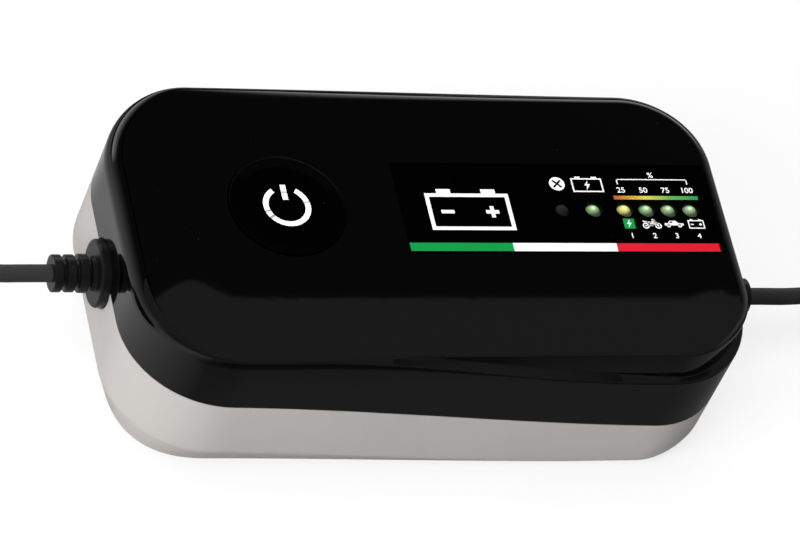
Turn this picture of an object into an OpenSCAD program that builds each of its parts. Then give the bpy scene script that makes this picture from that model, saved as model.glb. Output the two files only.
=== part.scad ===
// Car battery charger: two-part moulded case with a raised control panel, moulded cord glands,
// a mode button, six indicator lamps, the electronics inside, and both leads with their plugs.
// X is the long axis, Y points to the rear, Z is up. The origin is the centre of the base.

/* [Case] */
// Length of the case
case_length = 190; // [186:1:194]
// Width of the case
case_width = 99; // [96:1:102]
// Height of the flat top
case_height = 53.5; // [52.5:0.5:55]
// Radius of the front and the rear upright corner at the mains end
corner_radius_left = [30, 28]; // [27:0.5:31]
// Radius of the upright corners at the output end
corner_radius_right = 26; // [25:0.5:27]
// Wall thickness of both mouldings
wall = 2.2; // [2:0.1:2.4]
// Thickness of the base
floor_thickness = 2.5; // [2:0.1:3]

/* [Parting line] */
// Height of the parting line at the mains end
parting_left = 32; // [31:0.5:33]
// How far the parting line falls towards the output end
parting_drop = 12; // [10:0.5:13]
// Height of the lip that joins the two mouldings
lip_height = 1; // [0.8:0.1:1.2]

/* [Base taper] */
// Height of the lower crease at the mains end
crease_left = 9.3; // [8.5:0.1:10]
// How far the lower crease falls towards the output end
crease_drop = 7.1; // [6:0.1:7.2]
// Angle of the tapered skirt under the crease
taper_angle = 18.3; // [15:0.1:22]
// Smallest inset of the base from the case's outline
base_edge = 0.9; // [0.6:0.1:1.2]

/* [Control panel] */
// How far the front rim falls below the top at the output end
front_rim_drop = 10.9; // [9:0.1:12]
// How far the rear rim falls below the top at the output end
rear_rim_drop = 2.2; // [1.5:0.1:3]
// Left and right edge of the label
label_x = [-9.5, 90.4]; // [-12:0.1:90.5]
// Front and rear edge of the label
label_y = [-10.5, 22.2]; // [-11:0.1:23]
// Thickness of the label film
label_thickness = 0.3; // [0.2:0.05:0.4]

/* [Mode button] */
// Centre of the button
button_at = [-44.2, 6]; // [-45:0.1:7]
// Diameter of the button cap
button_diameter = 34.6; // [33:0.1:35]
// Travel of the button
button_travel = 0.8; // [0.5:0.1:1]

/* [Lamps] */
// Position of the first lamp along the panel
lamp_start = 41.6; // [40:0.1:42]
// Distance between the first three lamps
lamp_step = 9.9; // [9:0.1:10]
// Distance between the lamps of the charge gauge
gauge_step = 7.05; // [6.5:0.05:7.2]
// Distance of the row of lamps from the centre line
lamp_y = 5.6; // [5:0.1:6]
// Diameter of a lamp
lamp_diameter = 5; // [4.8:0.1:5]

/* [Glands] */
// Height of the mains gland
mains_gland_z = 28.6; // [28:0.1:29.5]
// Height of the output gland
output_gland_z = 16.85; // [16.5:0.05:17.5]
// Diameter of the gland's outer flange
gland_flange = 20; // [19:0.1:20.4]
// Diameter of the gland's ribs
gland_rib = 11; // [10.5:0.1:11.5]
// Distance between two ribs
gland_rib_pitch = 3.9; // [3.6:0.1:3.9]
// Distance from the case's centre to the end of the mains gland
mains_gland_end = 110.2; // [110:0.1:110.6]
// Distance from the case's centre to the end of the output gland
output_gland_end = 111.8; // [110.2:0.1:112]

/* [Cords] */
// Diameter of both cords
cord_diameter = 5.3; // [5:0.1:5.3]
// Distance between two turns of a coil
turn_pitch = 5.9; // [5.9:0.1:6.2]
// Distance between two layers of a coil
layer_pitch = 5.8; // [5.8:0.1:6]

/* [Mains plug] */
// Length of the plug's body
plug_length = 35; // [33:0.5:36]
// Width of the plug's body
plug_width = 26; // [25:0.5:26]
// Thickness of the plug's body
plug_thickness = 13.7; // [13:0.1:14]
// Diameter of a plug pin
plug_pin_diameter = 4; // [4:0.1:4]
// Length of a plug pin
plug_pin_length = 19; // [18:0.5:19]
// Distance between the two pins
plug_pin_spacing = 18.6; // [17.5:0.1:19]

/* [Output connector] */
// Diameter of the connector's pin
contact_diameter = 4; // [3.8:0.1:4]
// Distance between the connector's two contacts
contact_spacing = 8; // [8:0.1:8.4]
// Length of the connector's body
connector_length = 20; // [18:0.5:22]
// Length of the bare pin and of the shroud beside it
contact_length = 10; // [9:0.5:10]

/* [Circuit boards] */
// Length of the main board
main_board_length = 154; // [150:1:155]
// Width of the main board
main_board_width = 86; // [80:1:87]
// Thickness of both boards
board_thickness = 1.6; // [1.5:0.1:1.7]
// Height of the main board's underside
main_board_z = 9; // [9:0.5:9.5]
// Left and right edge of the display board
display_board_x = [-62, 88]; // [-62:1:88]
// Front and rear edge of the display board
display_board_y = [-11, 23]; // [-12:1:24]
// Height of the display board's top
display_board_z = 43.2; // [43.2:0.1:43.2]

/* [Hidden] */
$fn = 48;
e = 0.01; // overlap of cutting tools past a face

// Colours of the materials
cover_black = [0.06, 0.06, 0.065];
shell_grey = [0.74, 0.73, 0.71];
rubber_grey = [0.24, 0.24, 0.25];
cord_grey = [0.27, 0.27, 0.28];
button_black = [0.03, 0.03, 0.03];
board_green = [0.10, 0.32, 0.18];
steel = [0.72, 0.72, 0.74];
copper = [0.72, 0.42, 0.22];
brass = [0.80, 0.68, 0.36];
ferrite = [0.20, 0.20, 0.22];
aluminium = [0.80, 0.81, 0.82];
part_black = [0.10, 0.10, 0.10];

// ---------- Outline of the case ----------
// The outline runs anticlockwise. Each point holds x, y and the outward direction there.
corner_steps = 9;
long_side_steps = 14;
short_side_steps = 4;

// A corner on the sides that the signs x and y name, its arc begun at the angle start
function corner(x, y, start, radius) = [
    for (i = [0:corner_steps])
        let (a = start + 90 * i / corner_steps)
        [
            x * (case_length / 2 - radius) + radius * cos(a),
            y * (case_width / 2 - radius) + radius * sin(a),
            cos(a),
            sin(a)
        ]
];

// Points between the ends of a straight side, without the ends
function side(p, q, steps) = [for (i = [1:steps - 1]) p + (q - p) * i / steps];

front_right = corner(1, -1, -90, corner_radius_right);
rear_right = corner(1, 1, 0, corner_radius_right);
rear_left = corner(-1, 1, 90, corner_radius_left[1]);
front_left = corner(-1, -1, 180, corner_radius_left[0]);
outline = concat(
    front_right, side(front_right[corner_steps], rear_right[0], short_side_steps),
    rear_right, side(rear_right[corner_steps], rear_left[0], long_side_steps),
    rear_left, side(rear_left[corner_steps], front_left[0], short_side_steps),
    front_left, side(front_left[corner_steps], front_right[0], long_side_steps)
);

// ---------- Curves along the case ----------
function smooth(t) = let (u = min(max(t, 0), 1)) u * u * (3 - 2 * u);
function ramp(x, from, to) = smooth((x - from) / (to - from));

function parting_z(p) = parting_left - parting_drop * ramp(p[0], -80, 85);

// How far an outline point is into a corner, from 0 on the straight sides to 1 in its middle
function corner_share(p) = pow(2 * p[2] * p[3], 2);
function front_right_share(p) = p[2] > 0 && p[3] < 0 ? corner_share(p) : 0;
function left_share(p) = p[2] < 0 ? corner_share(p) : 0;
function rear_left_share(p) = p[3] > 0 ? left_share(p) : 0;

function crease_z(p) =
    crease_left - crease_drop * ramp(p[0], -80, 50) + 3.5 * front_right_share(p);
function base_inset(p) =
    base_edge + crease_z(p) * tan(taper_angle) - 1.5 * left_share(p) - 0.5 * front_right_share(p);

// Height of the rim at x, which runs lower along the front than along the rear
function rim_drop(x, y) =
    let (front = front_rim_drop * ramp(x, -46, 62), rear = rear_rim_drop * ramp(x, -85, 85))
    rear + (front - rear) * ramp(-y, -45, 45);
function rim_z(p) = case_height - rim_drop(p[0], p[1]);
ledge_shift = 17; // the ledge's foot follows the rim this far behind
function foot_z(p) = case_height - rim_drop(p[0] - ledge_shift * max(-p[3], 0), p[1]);

// A value given for the left, right, front and rear side, blended by the outward direction
function blend(p, left, right, front, rear) =
    pow(p[2], 2) * (p[2] < 0 ? left : right) + pow(p[3], 2) * (p[3] < 0 ? front : rear);

function shoulder_w(p) =
    blend(p, 4.2, 0.4, 1 - 0.6 * ramp(p[0], -46, 0), 0.8)
    + 0.8 * front_right_share(p) + 1.2 * rear_left_share(p);
function shoulder_h(p) = blend(p, 5, 0.6, 3 - 2.4 * ramp(p[0], -46, 20), 1);
function foot_inset(p) =
    blend(p, 4.4, 0.6, 2.1, 1.2) + 1.5 * front_right_share(p) + 1.1 * rear_left_share(p);
function pad_wall_w(p) = blend(p, 0.2, 0.2, 0.3, 0.1);
function fillet_w(p) = blend(p, 0.4, 3.6, 0.7, 3.1) + 0.8 * front_right_share(p);
function fillet_h(p) =
    min(blend(p, 0.4, 3, 0.5, 2.2) + 1.2 * front_right_share(p), case_height - foot_z(p));
function top_inset(p) = foot_inset(p) + pad_wall_w(p) + fillet_w(p);

// ---------- Mouldings lofted round the outline ----------
lip_inset = 1; // where the lip's step stands in the wall
lip_play = 0.05;
ceiling_z = case_height - wall;
gasket_height = 0.8;
gasket_play = 0.02;
gasket_z = function (p) parting_z(p) - lip_height - gasket_height;

// Quarter of an ellipse, w wide and h high, from [inset, z] inwards and up
function rounded(inset, z, w, h, steps) =
    [for (i = [1:steps]) let (a = 90 * i / steps) [inset + w * (1 - cos(a)), z + h * sin(a)]];

// Each section is a list of [inset from the outline, height]
cover_section = function (p) concat(
    [
        [top_inset(p) + 2.2, ceiling_z],
        [foot_inset(p) + 2.6, min(ceiling_z, foot_z(p) - 1.8)],
        [wall, rim_z(p) - shoulder_h(p) - 1.6],
        [wall, parting_z(p) - lip_height],
        [lip_inset, parting_z(p) - lip_height],
        [lip_inset, parting_z(p)],
        [0, parting_z(p)],
        [0, rim_z(p) - shoulder_h(p)]
    ],
    rounded(0, rim_z(p) - shoulder_h(p), shoulder_w(p), shoulder_h(p), 4),
    [
        [foot_inset(p), foot_z(p)],
        [foot_inset(p) + pad_wall_w(p), case_height - fillet_h(p)]
    ],
    rounded(foot_inset(p) + pad_wall_w(p), case_height - fillet_h(p), fillet_w(p), fillet_h(p), 3)
);

shell_section = function (p) [
    [base_inset(p), 0],
    [0, crease_z(p)],
    [0, parting_z(p) - lip_play],
    [lip_inset - lip_play, parting_z(p) - lip_play],
    [lip_inset - lip_play, gasket_z(p)],
    [wall, gasket_z(p)],
    [wall, crease_z(p) + 1.2],
    [base_inset(p) + wall + 0.2, floor_thickness]
];

gasket_section = function (p) [
    [wall, parting_z(p) - lip_height - gasket_play],
    [wall, gasket_z(p) + gasket_play],
    [lip_inset + 0.1, gasket_z(p) + gasket_play],
    [lip_inset + 0.1, parting_z(p) - lip_height - gasket_play]
];

// Points of a section carried round the outline
function loft_points(section) =
    [for (p = outline) for (s = section(p)) [p[0] - s[0] * p[2], p[1] - s[0] * p[3], s[1]]];

// Two triangles for each step along the outline and each step along the section
function loft_sides(count, steps, last) = [
    for (i = [0:count - 1])
        for (j = [0:last - 1])
            let (a = i * steps, b = ((i + 1) % count) * steps, k = (j + 1) % steps)
            each [[a + j, a + k, b + j], [b + j, a + k, b + k]]
];

// A flat cap from the points of one section step to a centre point
function cap(count, steps, step, centre, up) = [
    for (i = [0:count - 1])
        let (a = i * steps + step, b = ((i + 1) % count) * steps + step)
        up ? [b, a, centre] : [a, b, centre]
];

// A solid whose first and last section points are closed by flat caps
module lofted_solid(section) {
    count = len(outline);
    steps = len(section(outline[0]));
    points = loft_points(section);
    centres = [[0, 0, points[0][2]], [0, 0, points[steps - 1][2]]];
    polyhedron(concat(points, centres), concat(
        loft_sides(count, steps, steps - 1),
        cap(count, steps, 0, count * steps, false),
        cap(count, steps, steps - 1, count * steps + 1, true)
    ));
}

// A ring whose section closes on itself
module lofted_ring(section) {
    steps = len(section(outline[0]));
    polyhedron(loft_points(section), loft_sides(len(outline), steps, steps));
}

// ---------- Fasteners and their bosses ----------
case_screw_at = [[83, 33], [-83, 33], [-83, -33], [83, -33]];
case_boss_diameter = 8;
case_boss_split = 18; // height where the shell's boss meets the cover's
case_screw_seat = 8;
case_screw_head = [5.6, 2.2];
case_screw_end = 30;
case_screw_diameter = 2.9;
board_screw_at = [[66, 36], [-66, 36], [-66, -36], [66, -36]];
standoff_diameter = 6;
board_screw_diameter = 2.4;
main_board_top = main_board_z + board_thickness;
display_screw_at = [[-22, -8], [-22, 20], [85, -7], [85, 19]];
display_boss_diameter = 5;
display_screw_diameter = 1.8;
bore_play = 0.05; // radial

module at_each(places) {
    for (p = places) translate([p[0], p[1], 0]) children();
}

// Screw with its head's bearing face at z = 0, its shank up and a cross recess in the head
module screw(diameter, length, head) {
    difference() {
        union() {
            cylinder(d = diameter, h = length, $fn = 24);
            translate([0, 0, -head[1]]) cylinder(d = head[0], h = head[1], $fn = 32);
        }
        for (a = [0, 90])
            rotate(a) translate([-head[0] * 0.3, -0.3, -head[1] - e]) cube([head[0] * 0.6, 0.6, 1]);
    }
}

// ---------- Cord glands ----------
flange_seat = 1.2; // depth of the flange's seat in the case wall
flange_thickness = 3.9;
flange_x = case_length / 2 - flange_seat;
inner_flange_diameter = 17;
inner_flange_thickness = 2;
neck_hole = 13;
gland_neck = 7.8;
gland_rib_width = 2.6;
gland_rib_bevel = 0.35;
gland_boss = [10.3, 1.05]; // diameter and height of the boss on the outer flange

// Profile of a rib from its inner to its outer face, as [distance along the axis, radius]
function rib_profile(x, diameter) = [
    [x, gland_neck / 2],
    [x, diameter / 2 - gland_rib_bevel],
    [x + gland_rib_bevel, diameter / 2],
    [x + gland_rib_width - gland_rib_bevel, diameter / 2],
    [x + gland_rib_width, diameter / 2 - gland_rib_bevel],
    [x + gland_rib_width, gland_neck / 2]
];

// Half section of a gland that ends at the given distance from the case's centre
function gland_profile(end) = concat(
    [
        [case_length / 2 - wall - inner_flange_thickness, 0],
        [case_length / 2 - wall - inner_flange_thickness, inner_flange_diameter / 2],
        [case_length / 2 - wall, inner_flange_diameter / 2],
        [case_length / 2 - wall, neck_hole / 2],
        [flange_x, neck_hole / 2],
        [flange_x, gland_flange / 2],
        [flange_x + flange_thickness - 0.8, gland_flange / 2],
        [flange_x + flange_thickness - 0.2, gland_flange / 2 - 0.4],
        [flange_x + flange_thickness, gland_flange / 2 - 1.2],
        [flange_x + flange_thickness, gland_boss[0] / 2],
        [flange_x + flange_thickness + gland_boss[1] - 0.3, gland_boss[0] / 2],
        [flange_x + flange_thickness + gland_boss[1], gland_boss[0] / 2 - 0.3],
        [flange_x + flange_thickness + gland_boss[1], gland_neck / 2]
    ],
    rib_profile(end - gland_rib_width - 2 * gland_rib_pitch, gland_rib + 0.4),
    rib_profile(end - gland_rib_width - gland_rib_pitch, gland_rib),
    rib_profile(end - gland_rib_width, gland_rib),
    [[end, 0]]
);

// Gland along +X, moulded onto the cord
module gland(end) {
    rotate([90, 0, 90]) rotate_extrude($fn = 64)
        polygon([for (p = gland_profile(end)) [p[1], p[0]]]);
}

module mains_gland() {
    color(rubber_grey) mirror([1, 0, 0]) translate([0, 0, mains_gland_z])
        gland(mains_gland_end);
}

module output_gland() {
    color(rubber_grey) translate([0, 0, output_gland_z]) gland(output_gland_end);
}

// Cut for a gland's neck, with the seat of its flange
module gland_cut(play) {
    rotate([0, 90, 0]) {
        translate([0, 0, case_length / 2 - wall - 4]) cylinder(d = neck_hole + 2 * play, h = 9);
        translate([0, 0, flange_x]) cylinder(d = gland_flange + 0.4, h = 5, $fn = 64);
    }
}

module both_gland_cuts() {
    translate([0, 0, output_gland_z]) gland_cut(bore_play);
    mirror([1, 0, 0]) translate([0, 0, mains_gland_z]) gland_cut(bore_play);
}

// Space for the glands' flanges in the gasket
module both_flange_cuts() {
    for (g = [[1, output_gland_z], [-1, mains_gland_z]])
        translate([g[0] * case_length / 2, 0, g[1]]) rotate([0, 90, 0])
            cylinder(d = gland_flange + 0.6, h = 12, center = true);
}

// ---------- Case ----------
module lower_shell() {
    color(shell_grey) difference() {
        union() {
            lofted_solid(shell_section);
            at_each(case_screw_at) translate([0, 0, 1])
                cylinder(d = case_boss_diameter, h = case_boss_split - 1);
            at_each(board_screw_at) translate([0, 0, 1])
                cylinder(d = standoff_diameter, h = main_board_z - 1);
        }
        at_each(case_screw_at) {
            translate([0, 0, -e]) cylinder(d = 6.6, h = case_screw_seat + e);
            cylinder(d = 3.2, h = case_boss_split + e);
        }
        at_each(board_screw_at) translate([0, 0, floor_thickness])
            cylinder(d = board_screw_diameter + 2 * bore_play, h = main_board_z);
        both_gland_cuts();
    }
}

module upper_cover() {
    label_size = [label_x[1] - label_x[0], label_y[1] - label_y[0]];
    color(cover_black) difference() {
        union() {
            lofted_solid(cover_section);
            at_each(case_screw_at) translate([0, 0, case_boss_split])
                cylinder(d = case_boss_diameter, h = ceiling_z - case_boss_split + 1);
            at_each(display_screw_at) translate([0, 0, display_board_z])
                cylinder(d = display_boss_diameter, h = ceiling_z - display_board_z + 1);
        }
        at_each(case_screw_at) translate([0, 0, case_boss_split - e])
            cylinder(d = case_screw_diameter + 2 * bore_play, h = case_screw_end - case_boss_split + 2);
        at_each(display_screw_at) translate([0, 0, display_board_z - e])
            cylinder(d = display_screw_diameter + 2 * bore_play, h = 6);
        translate([button_at[0], button_at[1], ceiling_z - 1])
            cylinder(d = button_diameter + 0.7, h = 5, $fn = 96);
        lamp_cuts();
        translate([label_x[0], label_y[0], case_height - label_thickness])
            cube([label_size[0], label_size[1], 2]);
        both_gland_cuts();
    }
}

module cover_gasket() {
    color(part_black) difference() {
        lofted_ring(gasket_section);
        both_flange_cuts();
    }
}

lamp_play = 0.2;
lamp_x = [for (i = [0:5]) lamp_start + min(i, 2) * lamp_step + max(i - 2, 0) * gauge_step];

module lamp_cuts() {
    for (x = lamp_x)
        translate([x, lamp_y, ceiling_z - 1]) cylinder(d = lamp_diameter + 2 * lamp_play, h = 5);
}

module label_panel() {
    margin = 0.1;
    color([0.02, 0.02, 0.02]) difference() {
        translate([label_x[0] + margin, label_y[0] + margin, case_height - label_thickness])
            cube([
                label_x[1] - label_x[0] - 2 * margin, label_y[1] - label_y[0] - 2 * margin,
                label_thickness
            ]);
        lamp_cuts();
    }
}

// ---------- Mode button ----------
cap_top = 54;
cap_underside = 50;
cap_lip = [38, 1]; // diameter and thickness of the lip under the cover
post_diameter = 8;
post_end = 47.9;
guide_floor = [46.9, 48.1];
guide_diameter = 41;
guide_wall = 1;
switch_top = 46.7;
plunger_end = 46;
plunger_diameter = 3.5;
spring_wire = 0.5;
spring_radius = 6;
spring_turns = 2.5;

module at_button() {
    translate([button_at[0], button_at[1], 0]) children();
}

// Cap with a rounded rim and a very shallow dish, its lip and its guide post in one moulding
module mode_button() {
    r = button_diameter / 2;
    rim = 0.9;
    color(button_black) at_button() rotate_extrude($fn = 96) polygon(concat(
        [
            [0, post_end],
            [post_diameter / 2, post_end],
            [post_diameter / 2, cap_underside],
            [cap_lip[0] / 2, cap_underside],
            [cap_lip[0] / 2, cap_underside + cap_lip[1]],
            [r, cap_underside + cap_lip[1]]
        ],
        [for (a = [0:22.5:90]) [r - rim + rim * cos(a), cap_top - rim + rim * sin(a)]],
        [[r - 2.6, cap_top - 0.15], [0, cap_top - 0.3]]
    ));
}

module switch_plunger() {
    color(part_black) at_button() translate([0, 0, plunger_end])
        cylinder(d = plunger_diameter, h = post_end - plunger_end);
}

// Cup under the cover that keeps the cap upright and carries its spring
module button_guide() {
    color(part_black) at_button() difference() {
        translate([0, 0, guide_floor[0]])
            cylinder(d = guide_diameter, h = ceiling_z - guide_floor[0], $fn = 96);
        translate([0, 0, guide_floor[1]])
            cylinder(d = guide_diameter - 2 * guide_wall, h = 9, $fn = 96);
        cylinder(d = post_diameter + 2 * bore_play, h = 60);
    }
}

module tact_switch() {
    color(part_black) at_button() difference() {
        translate([-3, -3, display_board_z]) cube([6, 6, switch_top - display_board_z]);
        translate([0, 0, display_board_z + 1.8]) cylinder(d = plunger_diameter + 2 * bore_play, h = 4);
    }
}

function spring_point(t) = [
    button_at[0] + spring_radius * cos(360 * t), button_at[1] + spring_radius * sin(360 * t),
    guide_floor[1] + spring_wire / 2 + (cap_underside - guide_floor[1] - spring_wire) * t / spring_turns
];

module button_spring() {
    color(steel) tube([for (i = [0:1 / 16:spring_turns]) spring_point(i)], spring_wire, 6);
}

// ---------- Indicator lamps ----------
lamp_flange = [5.8, 1];
lamp_seat = 2.1; // height of the flange over the board
lamp_colours = [
    [0.45, 0.43, 0.40], [0.35, 0.75, 0.30], [0.90, 0.75, 0.20],
    [0.35, 0.75, 0.30], [0.35, 0.75, 0.30], [0.35, 0.75, 0.30]
];

module led(index) {
    base = display_board_z + lamp_seat;
    dome = case_height + 0.4 - lamp_diameter / 2;
    color(lamp_colours[index]) translate([lamp_x[index], lamp_y, 0]) {
        translate([0, 0, base]) cylinder(d = lamp_flange[0], h = lamp_flange[1], $fn = 32);
        translate([0, 0, base]) cylinder(d = lamp_diameter, h = dome - base, $fn = 32);
        translate([0, 0, dome]) intersection() {
            sphere(d = lamp_diameter, $fn = 32);
            translate([-5, -5, -e]) cube(10);
        }
        for (x = [-1.27, 1.27])
            translate([x, 0, display_board_z]) cylinder(d = 0.6, h = lamp_seat + e, $fn = 16);
    }
}

// ---------- Circuit boards ----------
display_underside = display_board_z - board_thickness;

module display_board() {
    color(board_green) difference() {
        translate([display_board_x[0], display_board_y[0], display_underside])
            cube([display_board_x[1] - display_board_x[0], display_board_y[1] - display_board_y[0],
                board_thickness]);
        at_each(display_screw_at) translate([0, 0, display_underside - e])
            cylinder(d = display_screw_diameter + 0.4, h = board_thickness + 2 * e, $fn = 24);
    }
}

module display_screws() {
    color(steel) at_each(display_screw_at) translate([0, 0, display_underside])
        screw(display_screw_diameter, board_thickness + 5, [3.6, 1.4]);
}

module main_board() {
    color(board_green) difference() {
        translate([-main_board_length / 2, -main_board_width / 2, main_board_z])
            cube([main_board_length, main_board_width, board_thickness]);
        at_each(board_screw_at) translate([0, 0, main_board_z - e])
            cylinder(d = board_screw_diameter + 0.4, h = board_thickness + 2 * e, $fn = 24);
    }
}

module board_screw(index) {
    color(steel) translate([board_screw_at[index][0], board_screw_at[index][1], main_board_top])
        mirror([0, 0, 1]) screw(board_screw_diameter, 7, [5, 1.8]);
}

module case_screw(index) {
    color(steel) translate([case_screw_at[index][0], case_screw_at[index][1], case_screw_seat])
        screw(case_screw_diameter, case_screw_end - case_screw_seat, case_screw_head);
}

// Flat ribbon between the boards with a header at each end
link_at = [8, 30];
link_reach = 12; // how far the upper header stands in front of the lower one
ribbon = [14, 0.9];
header = [16, 3, 4];

module board_header() {
    color(part_black) translate([-header[0] / 2, -header[1] / 2, 0]) cube(header);
}

module board_link() {
    foot = main_board_top + header[2];
    head = display_underside - header[2];
    translate([link_at[0], link_at[1], main_board_top]) board_header();
    translate([link_at[0], link_at[1] - link_reach, head]) board_header();
    color([0.55, 0.55, 0.58]) translate([link_at[0] - ribbon[0] / 2, link_at[1], 0]) {
        translate([0, -ribbon[1] / 2, foot]) cube([ribbon[0], ribbon[1], head - foot]);
        translate([0, -link_reach, head - ribbon[1]]) cube([ribbon[0], link_reach, ribbon[1]]);
    }
}

// ---------- Parts on the main board ----------
x_capacitor_at = [-48, 22];
fuse_at = [-66, 0];
bridge_at = [-48, 4];
input_capacitor_at = [-20, 26];
input_capacitor_size = [22, 28]; // diameter and height
output_capacitor_at = [[52, -20], [52, -4]];
output_capacitor_size = [12.5, 20];
primary_at = [-20, -34]; // heatsink with the power transistor
primary_length = 40;
secondary_at = [44, 29]; // heatsink with the rectifier diode
secondary_length = 30;
heatsink_height = 24;

module on_board(at) {
    translate([at[0], at[1], main_board_top]) children();
}

// Two E cores, face to face, with a round middle leg
transformer_at = [8, -12];
core_size = [36, 14, 28];
core_leg = 6;
winding_diameter = 23;

module transformer_core() {
    color(ferrite) on_board(transformer_at) difference() {
        translate([-core_size[0] / 2, -core_size[1] / 2, 0]) cube(core_size);
        translate([-core_size[0] / 2 + core_leg, -core_size[1], core_leg])
            cube([core_size[0] - 2 * core_leg, 2 * core_size[1], core_size[2] - 2 * core_leg]);
    }
    color(ferrite) on_board(transformer_at) translate([0, 0, core_leg - e])
        cylinder(d = core_size[1] - 2, h = core_size[2] - 2 * core_leg + 2 * e);
}

module transformer_winding() {
    color(copper) on_board(transformer_at) translate([0, 0, core_leg])
        difference() {
            cylinder(d = winding_diameter, h = core_size[2] - 2 * core_leg);
            translate([0, 0, -1]) cylinder(d = core_size[1] - 2, h = core_size[2]);
        }
}

// Ring core standing on edge, with one winding on each side
choke_at = [-48, -22];
choke_ring = [11, 6]; // outer and inner radius
choke_depth = 8;
choke_wire = 1.2;
choke_play = 0.1; // the ring's insulation

module choke_core() {
    color(ferrite) on_board(choke_at)
        translate([0, choke_depth / 2, choke_ring[0] + choke_wire]) rotate([90, 0, 0]) difference() {
            cylinder(r = choke_ring[0], h = choke_depth, $fn = 64);
            translate([0, 0, -1]) cylinder(r = choke_ring[1], h = choke_depth + 2, $fn = 64);
        }
}

module choke_winding() {
    color(copper) on_board(choke_at) translate([0, 0, choke_ring[0] + choke_wire])
        rotate([90, 0, 0]) for (start = [100, 280])
            rotate(start) rotate_extrude(angle = 160, $fn = 64) difference() {
                translate([choke_ring[1] - choke_wire, -choke_depth / 2 - choke_wire])
                    square([choke_ring[0] - choke_ring[1] + 2 * choke_wire, choke_depth + 2 * choke_wire]);
                translate([choke_ring[1] - choke_play, -choke_depth / 2 - choke_play])
                    square([choke_ring[0] - choke_ring[1] + 2 * choke_play, choke_depth + 2 * choke_play]);
            }
}

module x_capacitor() {
    color([0.85, 0.70, 0.20]) on_board(x_capacitor_at) translate([-9, -4, 0]) cube([18, 8, 15]);
}

module line_fuse() {
    on_board(fuse_at) {
        color([0.85, 0.85, 0.80]) translate([0, 10, 4.5]) rotate([90, 0, 0]) cylinder(d = 5.2, h = 20);
        color(brass) for (y = [-7, 7]) translate([-1.8, y - 1.5, 0]) cube([3.6, 3, 3]);
    }
}

module bridge_rectifier() {
    color(part_black) on_board(bridge_at) {
        translate([-10, -2, 3]) cube([20, 4, 15]);
        for (x = [-7.5, -2.5, 2.5, 7.5]) translate([x - 0.5, -0.4, 0]) cube([1, 0.8, 3 + e]);
    }
}

// Round capacitor with the groove above its base
module capacitor(at, size) {
    r = size[0] / 2;
    height = size[1];
    color([0.12, 0.14, 0.30]) on_board(at) rotate_extrude($fn = 48) polygon([
        [0, 0], [r - 0.4, 0], [r, 0.4], [r, 1.8], [r - 0.6, 2.4], [r, 3],
        [r, height - 0.6], [r - 0.6, height], [0, height]
    ]);
}

module output_capacitor(index) {
    capacitor(output_capacitor_at[index], output_capacitor_size);
}

// Finned plate, standing on the board along X
module heatsink(at, length, turn) {
    plate = 2.5;
    fin = [1.4, 8];
    gaps = 5;
    color(aluminium) on_board(at) rotate(turn) {
        translate([-length / 2, 0, 0]) cube([length, plate, heatsink_height]);
        for (i = [0:gaps])
            translate([-length / 2 + i * (length - fin[0]) / gaps, plate - e, 0])
                cube([fin[0], fin[1], heatsink_height]);
    }
}

// Power device in a flat package with a metal tab, its back at y = 0
module power_device(at, turn) {
    on_board(at) rotate(turn) {
        color(part_black) translate([-5, -4.4, 4]) cube([10, 3.1, 9]);
        color(steel) translate([-5, -1.3, 4]) cube([10, 1.3, 15]);
        color(steel) for (i = [-2.54, 0, 2.54]) translate([i - 0.4, -3, 0]) cube([0.8, 0.5, 4 + e]);
    }
}

// ---------- Cords ----------
function unit(v) = v / norm(v);
function heading(points, i) = unit(points[min(i + 1, len(points) - 1)] - points[max(i - 1, 0)]);

// Ring of a tube round point i, square to the way it runs
function tube_ring(points, i, r, sides) =
    let (
        forward = heading(points, i),
        across = unit(cross([0, 0, 1], forward)),
        up = cross(forward, across)
    )
    [for (k = [0:sides - 1]) let (a = 360 * k / sides - 90)
        points[i] + r * (cos(a) * across + sin(a) * up)];

// One tube along a list of points, with flat ends
module tube(points, diameter, sides) {
    last = (len(points) - 1) * sides;
    rings = [for (i = [0:len(points) - 1]) each tube_ring(points, i, diameter / 2, sides)];
    walls = [
        for (i = [0:len(points) - 2])
            for (k = [0:sides - 1])
                let (a = i * sides + k, b = i * sides + (k + 1) % sides)
                each [[a, a + sides, b], [b, a + sides, b + sides]]
    ];
    ends = [for (k = [1:sides - 2]) each [[0, k, k + 1], [last, last + k + 1, last + k]]];
    polyhedron(rings, concat(walls, ends));
}

// A coil that spirals in and out again, layer by layer. It starts on top and ends at the bottom,
// both at its rear, heading away from the case, and has a straight end of one diameter at each
// end. way is -1 for the mains end and 1 for the output end.
mains_coil_at = [-190, -10];
mains_coil_radius = 36.6; // of the outer turn
mains_coil_turns = 2.25; // in each layer
mains_coil_layers = 4;
output_coil_at = [197, -4.8];
output_coil_radius = 42;
output_coil_turns = 3.5;
output_coil_layers = 2;
coil_rings = 24;

function coil_radius(t, turns, layers, outer) =
    let (layer = min(floor(t / turns), layers - 1), part = t - layer * turns)
    outer - turn_pitch * (layer % 2 == 0 ? part : turns - part);

// Each step down takes the half turn where the spiral reverses
function coil_height(t, turns, layers) =
    let (steps = [for (i = [1:layers - 1]) smooth((t - i * turns) * 2 + 0.5)])
    cord_diameter / 2 + layer_pitch * (layers - 1 - steps * [for (i = [1:layers - 1]) 1]);

function coil_points(at, outer, turns, layers, way) =
    let (
        top = cord_diameter / 2 + layer_pitch * (layers - 1),
        start = [at[0] - way * cord_diameter, at[1] + outer, top],
        end = [at[0] + way * cord_diameter, at[1] + outer, cord_diameter / 2]
    )
    concat([start], [
        for (i = [0:layers * turns * coil_rings])
            let (
                t = i / coil_rings,
                r = coil_radius(t, turns, layers, outer),
                a = 90 - way * 360 * t
            )
            [at[0] + r * cos(a), at[1] + r * sin(a), coil_height(t, turns, layers)]
    ], [end]);

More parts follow.
